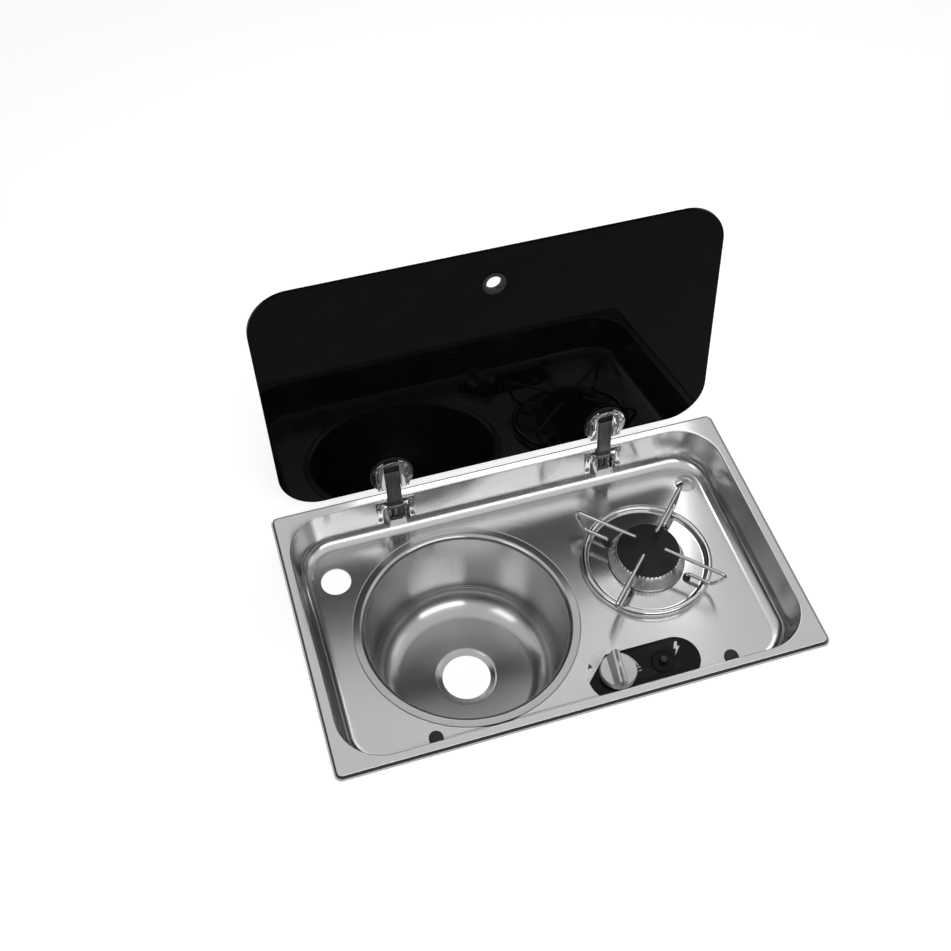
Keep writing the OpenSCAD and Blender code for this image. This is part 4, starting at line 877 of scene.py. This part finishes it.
# %% Washer and screw
WASHER = (OPEN_X - 36.5, OPEN_Y - 47.5)
WASHER_R, WASHER_HOLE_R, WASHER_TOP, WASHER_FALL = 12.8, 2.3, 3.0, 2.9
share = np.linspace(1, 0, 20)
washer_top = np.stack([WASHER_HOLE_R + share * (WASHER_R - WASHER_HOLE_R),
                       FLOOR_Z + WASHER_TOP - WASHER_FALL * share**1.8], -1)
washer_profile = chain((WASHER_R - 0.3, FLOOR_Z + 0.02), washer_top,
                       (WASHER_HOLE_R, FLOOR_Z + 0.02))
add_object("washer_domed", revolve("washer", washer_profile, WASHER, 96), "hob_sink",
           ("retaining_washer",), polished_stainless)
softened("screw_cross_head", "retaining_screw", "hob_sink", zinc_plating, 0.12, "zinc_steel")
print("washer stands", WASHER_TOP, "mm over the floor")

# %% [markdown]
# ## The control panel
# The panel is a thin sheet printed in gloss black, cut off on the slant beside the knob, where
# a bare silver end shows. Its printed marks are a spark beside the igniter, a flame wedge and
# two strokes on the knob's scale, and a dark off pointer on the silver end. They are flat pieces
# a few hundredths of a millimetre thick, laid on the panel as silk-screen ink is.

# %% Panel and marks
PANEL_Z = FLOOR_Z + 0.6
SILVER_Z, SILVER_T = FLOOR_Z + 0.02, 0.1
SILVER_R, CUT_GAP, FRONT_LIMIT = 36, 0.4, -134.6
CUT_AT, CUT_TURN = (KNOB[0] - 5, KNOB[1] + 27.5), math.radians(44)
SPARK_AT = (129.1, -103.8)
SPARK = np.array([(0.6, 8.2), (3.8, 8.2), (1.9, 2.4), (4.4, 1.4), (-4.6, -8.2), (-0.6, -0.6),
                  (-3.4, 0.2)])
POINTER = np.array([(22.9, -100.4), (29.3, -99.4), (26.8, -93.6)])
STROKE = np.array([(-2, -0.5), (-1.6, 0.6), (2, 0.9), (2.2, -0.3)])
STROKES_AT = ((79.4, -114.6), (79.0, -118.6))
WEDGE_OUTER_R, WEDGE_HIGH_R, WEDGE_LOW_R = 27.2, 24.4, 26.8
softened("panel_printed", "control_panel", "hob_sink", black_lacquer, 0.12, "black_gloss")


def ink(name, outline, material, z=PANEL_Z + 0.01, thick=0.04):
    """A printed mark: a thin slab of ink on the panel."""
    mesh = surface(name, slab(outline, z, z + thick, 0.01), wrap_u=True, capped=True)
    add_object(name, mesh, "hob_sink", (), material)


ink("mark_spark", SPARK[::-1] + SPARK_AT, printed_ink)
# The silver end is the part of a half ring round the knob that lies beyond the slanted cut.
ring = arc(*KNOB, SILVER_R, 80, 260, 90)
beyond_cut = ((ring[:, 0] - CUT_AT[0]) * math.sin(CUT_TURN)
              < (ring[:, 1] - CUT_AT[1]) * math.cos(CUT_TURN) - CUT_GAP)
silver_end = ring[beyond_cut & (ring[:, 1] > FRONT_LIMIT)]
ink("panel_silver_end", silver_end[::-1], silver_print, SILVER_Z, SILVER_T)
ink("mark_pointer", POINTER, dark_ink, SILVER_Z + SILVER_T + 0.01)
# The wedge runs round the knob and grows from the low flame to the high one.
outer_edge = arc(*KNOB, WEDGE_OUTER_R, 32, 5, 16)
inner_edge = arc(*KNOB, np.linspace(WEDGE_LOW_R, WEDGE_HIGH_R, 16), 5, 32, 16)
ink("mark_flame_wedge", chain(outer_edge, inner_edge), printed_ink)
for at in STROKES_AT:
    ink("mark_stroke_%d" % -at[1], STROKE[::-1] + at, printed_ink)
print("silver end has", len(silver_end), "points")

# %% [markdown]
# ## The knob and the igniter
# The knob is moulded and painted silver: a round skirt with a raised grip across it that slopes
# wider on one side, so that the thumb finds it. The skirt is a turned form, and the grip is one
# section carried along the diameter and cut off at the skirt's edge. The pointer strip and the
# igniter come from the CAD.

# %% Knob and igniter
KNOB_R, KNOB_TOP = 21, FLOOR_Z + 22
KNOB_Z, FACE_Z = PANEL_Z + 4.2, KNOB_TOP - 8
HOLLOW_R, RIM_ROUNDING = KNOB_R - 4, 1.2
GRIP_ANGLE = math.radians(82)
GRIP_R = KNOB_R - 0.3
GRIP_TOP, GRIP_ARRIS, GRIP_FOOT = 3.6, 4.2, 6.2
THUMB_MID, THUMB_GROWTH = 10.3, 1.2
GRIP_Z = FACE_Z - 0.6
skirt = chain((0, KNOB_Z + 8), (HOLLOW_R, KNOB_Z + 8), (HOLLOW_R, KNOB_Z),
              (KNOB_R - 0.6, KNOB_Z), (KNOB_R, KNOB_Z + 0.6), (KNOB_R, FACE_Z - RIM_ROUNDING),
              arc(KNOB_R - RIM_ROUNDING, FACE_Z - RIM_ROUNDING, RIM_ROUNDING, 10, 90, 6),
              (0, FACE_Z))
skirt_mesh = revolve("knob skirt", skirt, KNOB, 128, closed=False)
along = np.concatenate([np.linspace(-1, -0.9, 6), np.linspace(-0.85, 0.85, 30),
                        np.linspace(0.9, 1, 6)]) * GRIP_R
# Half the chord of the skirt at each place along the grip, and never quite nothing.
half_chord = np.sqrt(np.maximum(GRIP_R**2 - along**2, 0.04))
thumb_side = THUMB_MID + THUMB_GROWTH * along / KNOB_R
rows = []
for thumb, limit, place in zip(thumb_side, half_chord, along):
    section = round_corners([(-thumb, GRIP_Z), (-GRIP_ARRIS, KNOB_TOP - 0.3),
                             (-GRIP_TOP, KNOB_TOP), (GRIP_TOP, KNOB_TOP),
                             (GRIP_ARRIS, KNOB_TOP - 0.4), (GRIP_FOOT, GRIP_Z)],
                            [0, 0.5, 0.5, 0.5, 0.5, 0], 4, closed=False)
    across = np.clip(section[:, 0], -limit, limit)
    rows.append(np.stack([across, np.full(len(across), place), section[:, 1]], -1))
across, lengthwise, height = np.moveaxis(np.stack(rows, 0), -1, 0)
cos_grip, sin_grip = math.cos(GRIP_ANGLE), math.sin(GRIP_ANGLE)
grip = np.stack([KNOB[0] + across * sin_grip + lengthwise * cos_grip,
                 KNOB[1] - across * cos_grip + lengthwise * sin_grip, height], -1)
grip_mesh = surface("knob grip", grip, wrap_v=True)
add_object("knob_painted", joined("knob", [skirt_mesh, grip_mesh]), "knob_turner", ("knob",),
           silver_paint)
softened("knob_pointer", "knob_inlay", "knob_turner", white_abs, 0.1, "white_plastic")
softened("igniter_barrel", "igniter_body", "hob_sink", black_abs, 0.3, "black_plastic")
softened("igniter_push", "igniter_button", "button", dark_red_abs, 0.4, "red_plastic", 3)
print("knob top stands", KNOB_TOP - FLOOR_Z, "mm over the floor")

# %% [markdown]
# ## The glass lid
# The lid is 5 mm toughened glass with a ground edge, printed black on its back. A slab with a
# small ground radius on both arrises is enough, as long as its face is truly flat: it works as
# a dark mirror, and any ripple would show. Its holes are for the grommet and the clamps' screws.

# %% Lid glass
HOLE_R, FINGER_V = 11, 254.5
HINGE_X, SCREW_X, SCREW_V, SCREW_R = 132, 17, 18, 3.5
# The ground edge: how far each outline is drawn in, and at what depth in the glass.
GROUND_EDGE = [(1.0, 0), (0.35, 0.18), (0.0, 0.7), (0.0, LID_T - 0.7), (0.35, LID_T - 0.18),
               (1.0, LID_T)]


def lid_point(p):
    """Puts (x, w, depth) of the lid, w above its lower edge, into the row frame: it leans back
    about the pivot, y = py + v cos + u sin and z = pz - v sin + u cos."""
    p = np.asarray(p, float)
    v, u = GLASS_V + LID_T - p[..., 2], EDGE_U + p[..., 1]
    return np.stack([p[..., 0], PIVOT[0] + v * math.cos(LEAN) + u * math.sin(LEAN),
                     PIVOT[1] - v * math.sin(LEAN) + u * math.cos(LEAN)], -1)


def lid_outline(inset, depth):
    """The lid's outline, drawn in by an inset, at a depth in the glass."""
    outline = rounded_rect(LID_W / 2 - inset, LID_D / 2 - inset, LID_R - inset, 32)
    return at_height(outline + np.array([0, LID_D / 2]), depth)


edge_grid = lid_point(np.stack([lid_outline(*step) for step in GROUND_EDGE], 1))
glass_mesh = raw_mesh("lid", edge_grid.reshape(-1, 3),
                      grid_faces(*edge_grid.shape[:2], True, False).tolist())
glass_bm = bmesh.new()
glass_bm.from_mesh(glass_mesh)
screw_holes = [(hinge * HINGE_X + side * SCREW_X, SCREW_V, SCREW_R, 24)
               for hinge in (-1, 1) for side in (-1, 1)]
lid_holes = [(0, FINGER_V, HOLE_R, 64)] + screw_holes
for inset, depth in (GROUND_EDGE[0], GROUND_EDGE[-1]):
    cuts = [ring_points(x, y, r, depth, n) for x, y, r, n in lid_holes]
    fill_between(glass_bm, [lid_point(lid_outline(inset, depth))] + [lid_point(c) for c in cuts])
for x, y, r, n in lid_holes:
    wall_between(glass_bm, [lid_point(ring_points(x, y, r, depth, n)) for depth in (0, LID_T)])
bmesh.ops.remove_doubles(glass_bm, verts=glass_bm.verts, dist=0.01 * MM)
bmesh.ops.recalc_face_normals(glass_bm, faces=glass_bm.faces)
glass_bm.to_mesh(glass_mesh)
glass_bm.free()
smooth_all_but(glass_mesh, sharp_deg=12)
add_object("lid_pane", glass_mesh, "lid", ("lid_glass",), black_glass)
print("lid faces:", len(glass_mesh.polygons), "with", len(lid_holes), "holes")

# %% Grommet, pads and rests
# Each piece has its node, its body, its finish, the radius of its edges, its slot and, where
# the radius is large, the steps of the rounding.
LID_RUBBER = {
    "lid_grommet_rubber": ("lid_grommet", "lid", moulded_rubber, 0.45, "rubber", 3),
    "clamp_pads_rubber": ("clamp_pads", "lid", moulded_rubber, 0.2, "rubber"),
    "lid_rests_rubber": ("lid_rests", "hob_sink", moulded_rubber, 0.6, "rubber", 3),
}
for name, values in LID_RUBBER.items():
    softened(name, *values)
print("rubber pieces of the lid:", len(LID_RUBBER))

# %% [markdown]
# ## The hinges
# Each hinge is a stamped and plated bracket on the tray's rear wall, a dark arm that turns on a
# pin and slides in a channel, and a cast clamp that holds the glass between rubber and plate.
# Their shapes come from the CAD, with the edges softened.

# %% Hinge pieces
HINGES = {
    "brackets_plated": ("hinge_brackets", "hob_sink", bright_plating, 0.3, "chrome", 3),
    "pins": ("hinge_pins", "hob_sink", zinc_plating, 0.15, "zinc_steel"),
    "springs_leaf": ("hinge_springs", "hob_sink", dark_steel, 0.12, "dark_steel"),
    "bracket_screw_set": ("bracket_screws", "hob_sink", zinc_plating, 0.1, "zinc_steel"),
    "arms_phosphated": ("hinge_arms", "arms", dark_steel, 0.2, "dark_steel"),
    "clamps_front_cast": ("clamp_fronts", "lid", bright_plating, 0.4, "chrome", 3),
    "clamps_back_plate": ("clamp_backs", "lid", bright_plating, 0.3, "chrome", 3),
    "clamp_screw_set": ("clamp_screws", "lid", zinc_plating, 0.12, "zinc_steel"),
}
for name, values in HINGES.items():
    softened(name, *values)
print("hinge pieces:", len(HINGES))

# %% [markdown]
# ## Under the tray
# The gas line, the valve and the burner's cup are not seen in use, but someone who turns the
# unit over sees them. They keep their CAD shapes with softened edges.

# %% Gas line and the rest
# Each node has its finish and the radius of its softened edges in millimetres.
UNDER = {
    "burner_cup": (cast_aluminium, 0.4), "burner_carrier": (satin_stainless, 0.15),
    "mixing_tube": (cast_aluminium, 0.3), "gas_injector": (turned_brass, 0.2),
    "ignition_electrode": (glazed_ceramic, 0.2), "thermocouple": (drawn_copper, 0.2),
    "gas_valve": (turned_brass, 0.3), "valve_nut": (zinc_plating, 0.2),
    "valve_spring": (zinc_plating, 0.1), "igniter_nut": (zinc_plating, 0.2),
    "ignition_lead": (black_abs, 0), "thermocouple_lead": (drawn_copper, 0),
    "burner_pipe": (drawn_copper, 0.1), "inlet_pipe": (drawn_copper, 0.1),
    "pipe_nuts": (turned_brass, 0.25),
}
record_slot = {part["node"]: part["material_slot"] for part in frame["record"]["subparts"]}
for node, (material, radius) in UNDER.items():
    softened(node + "_finished", node, "hob_sink", material, radius, record_slot[node])
softened("collar_turned", "spindle_collar", "spindle_guide", turned_brass, 0.15, "brass")
softened("spindle_turned", "valve_spindle", "knob_turner", turned_brass, 0.15, "brass")
print("pieces under the tray:", len(UNDER) + 2)
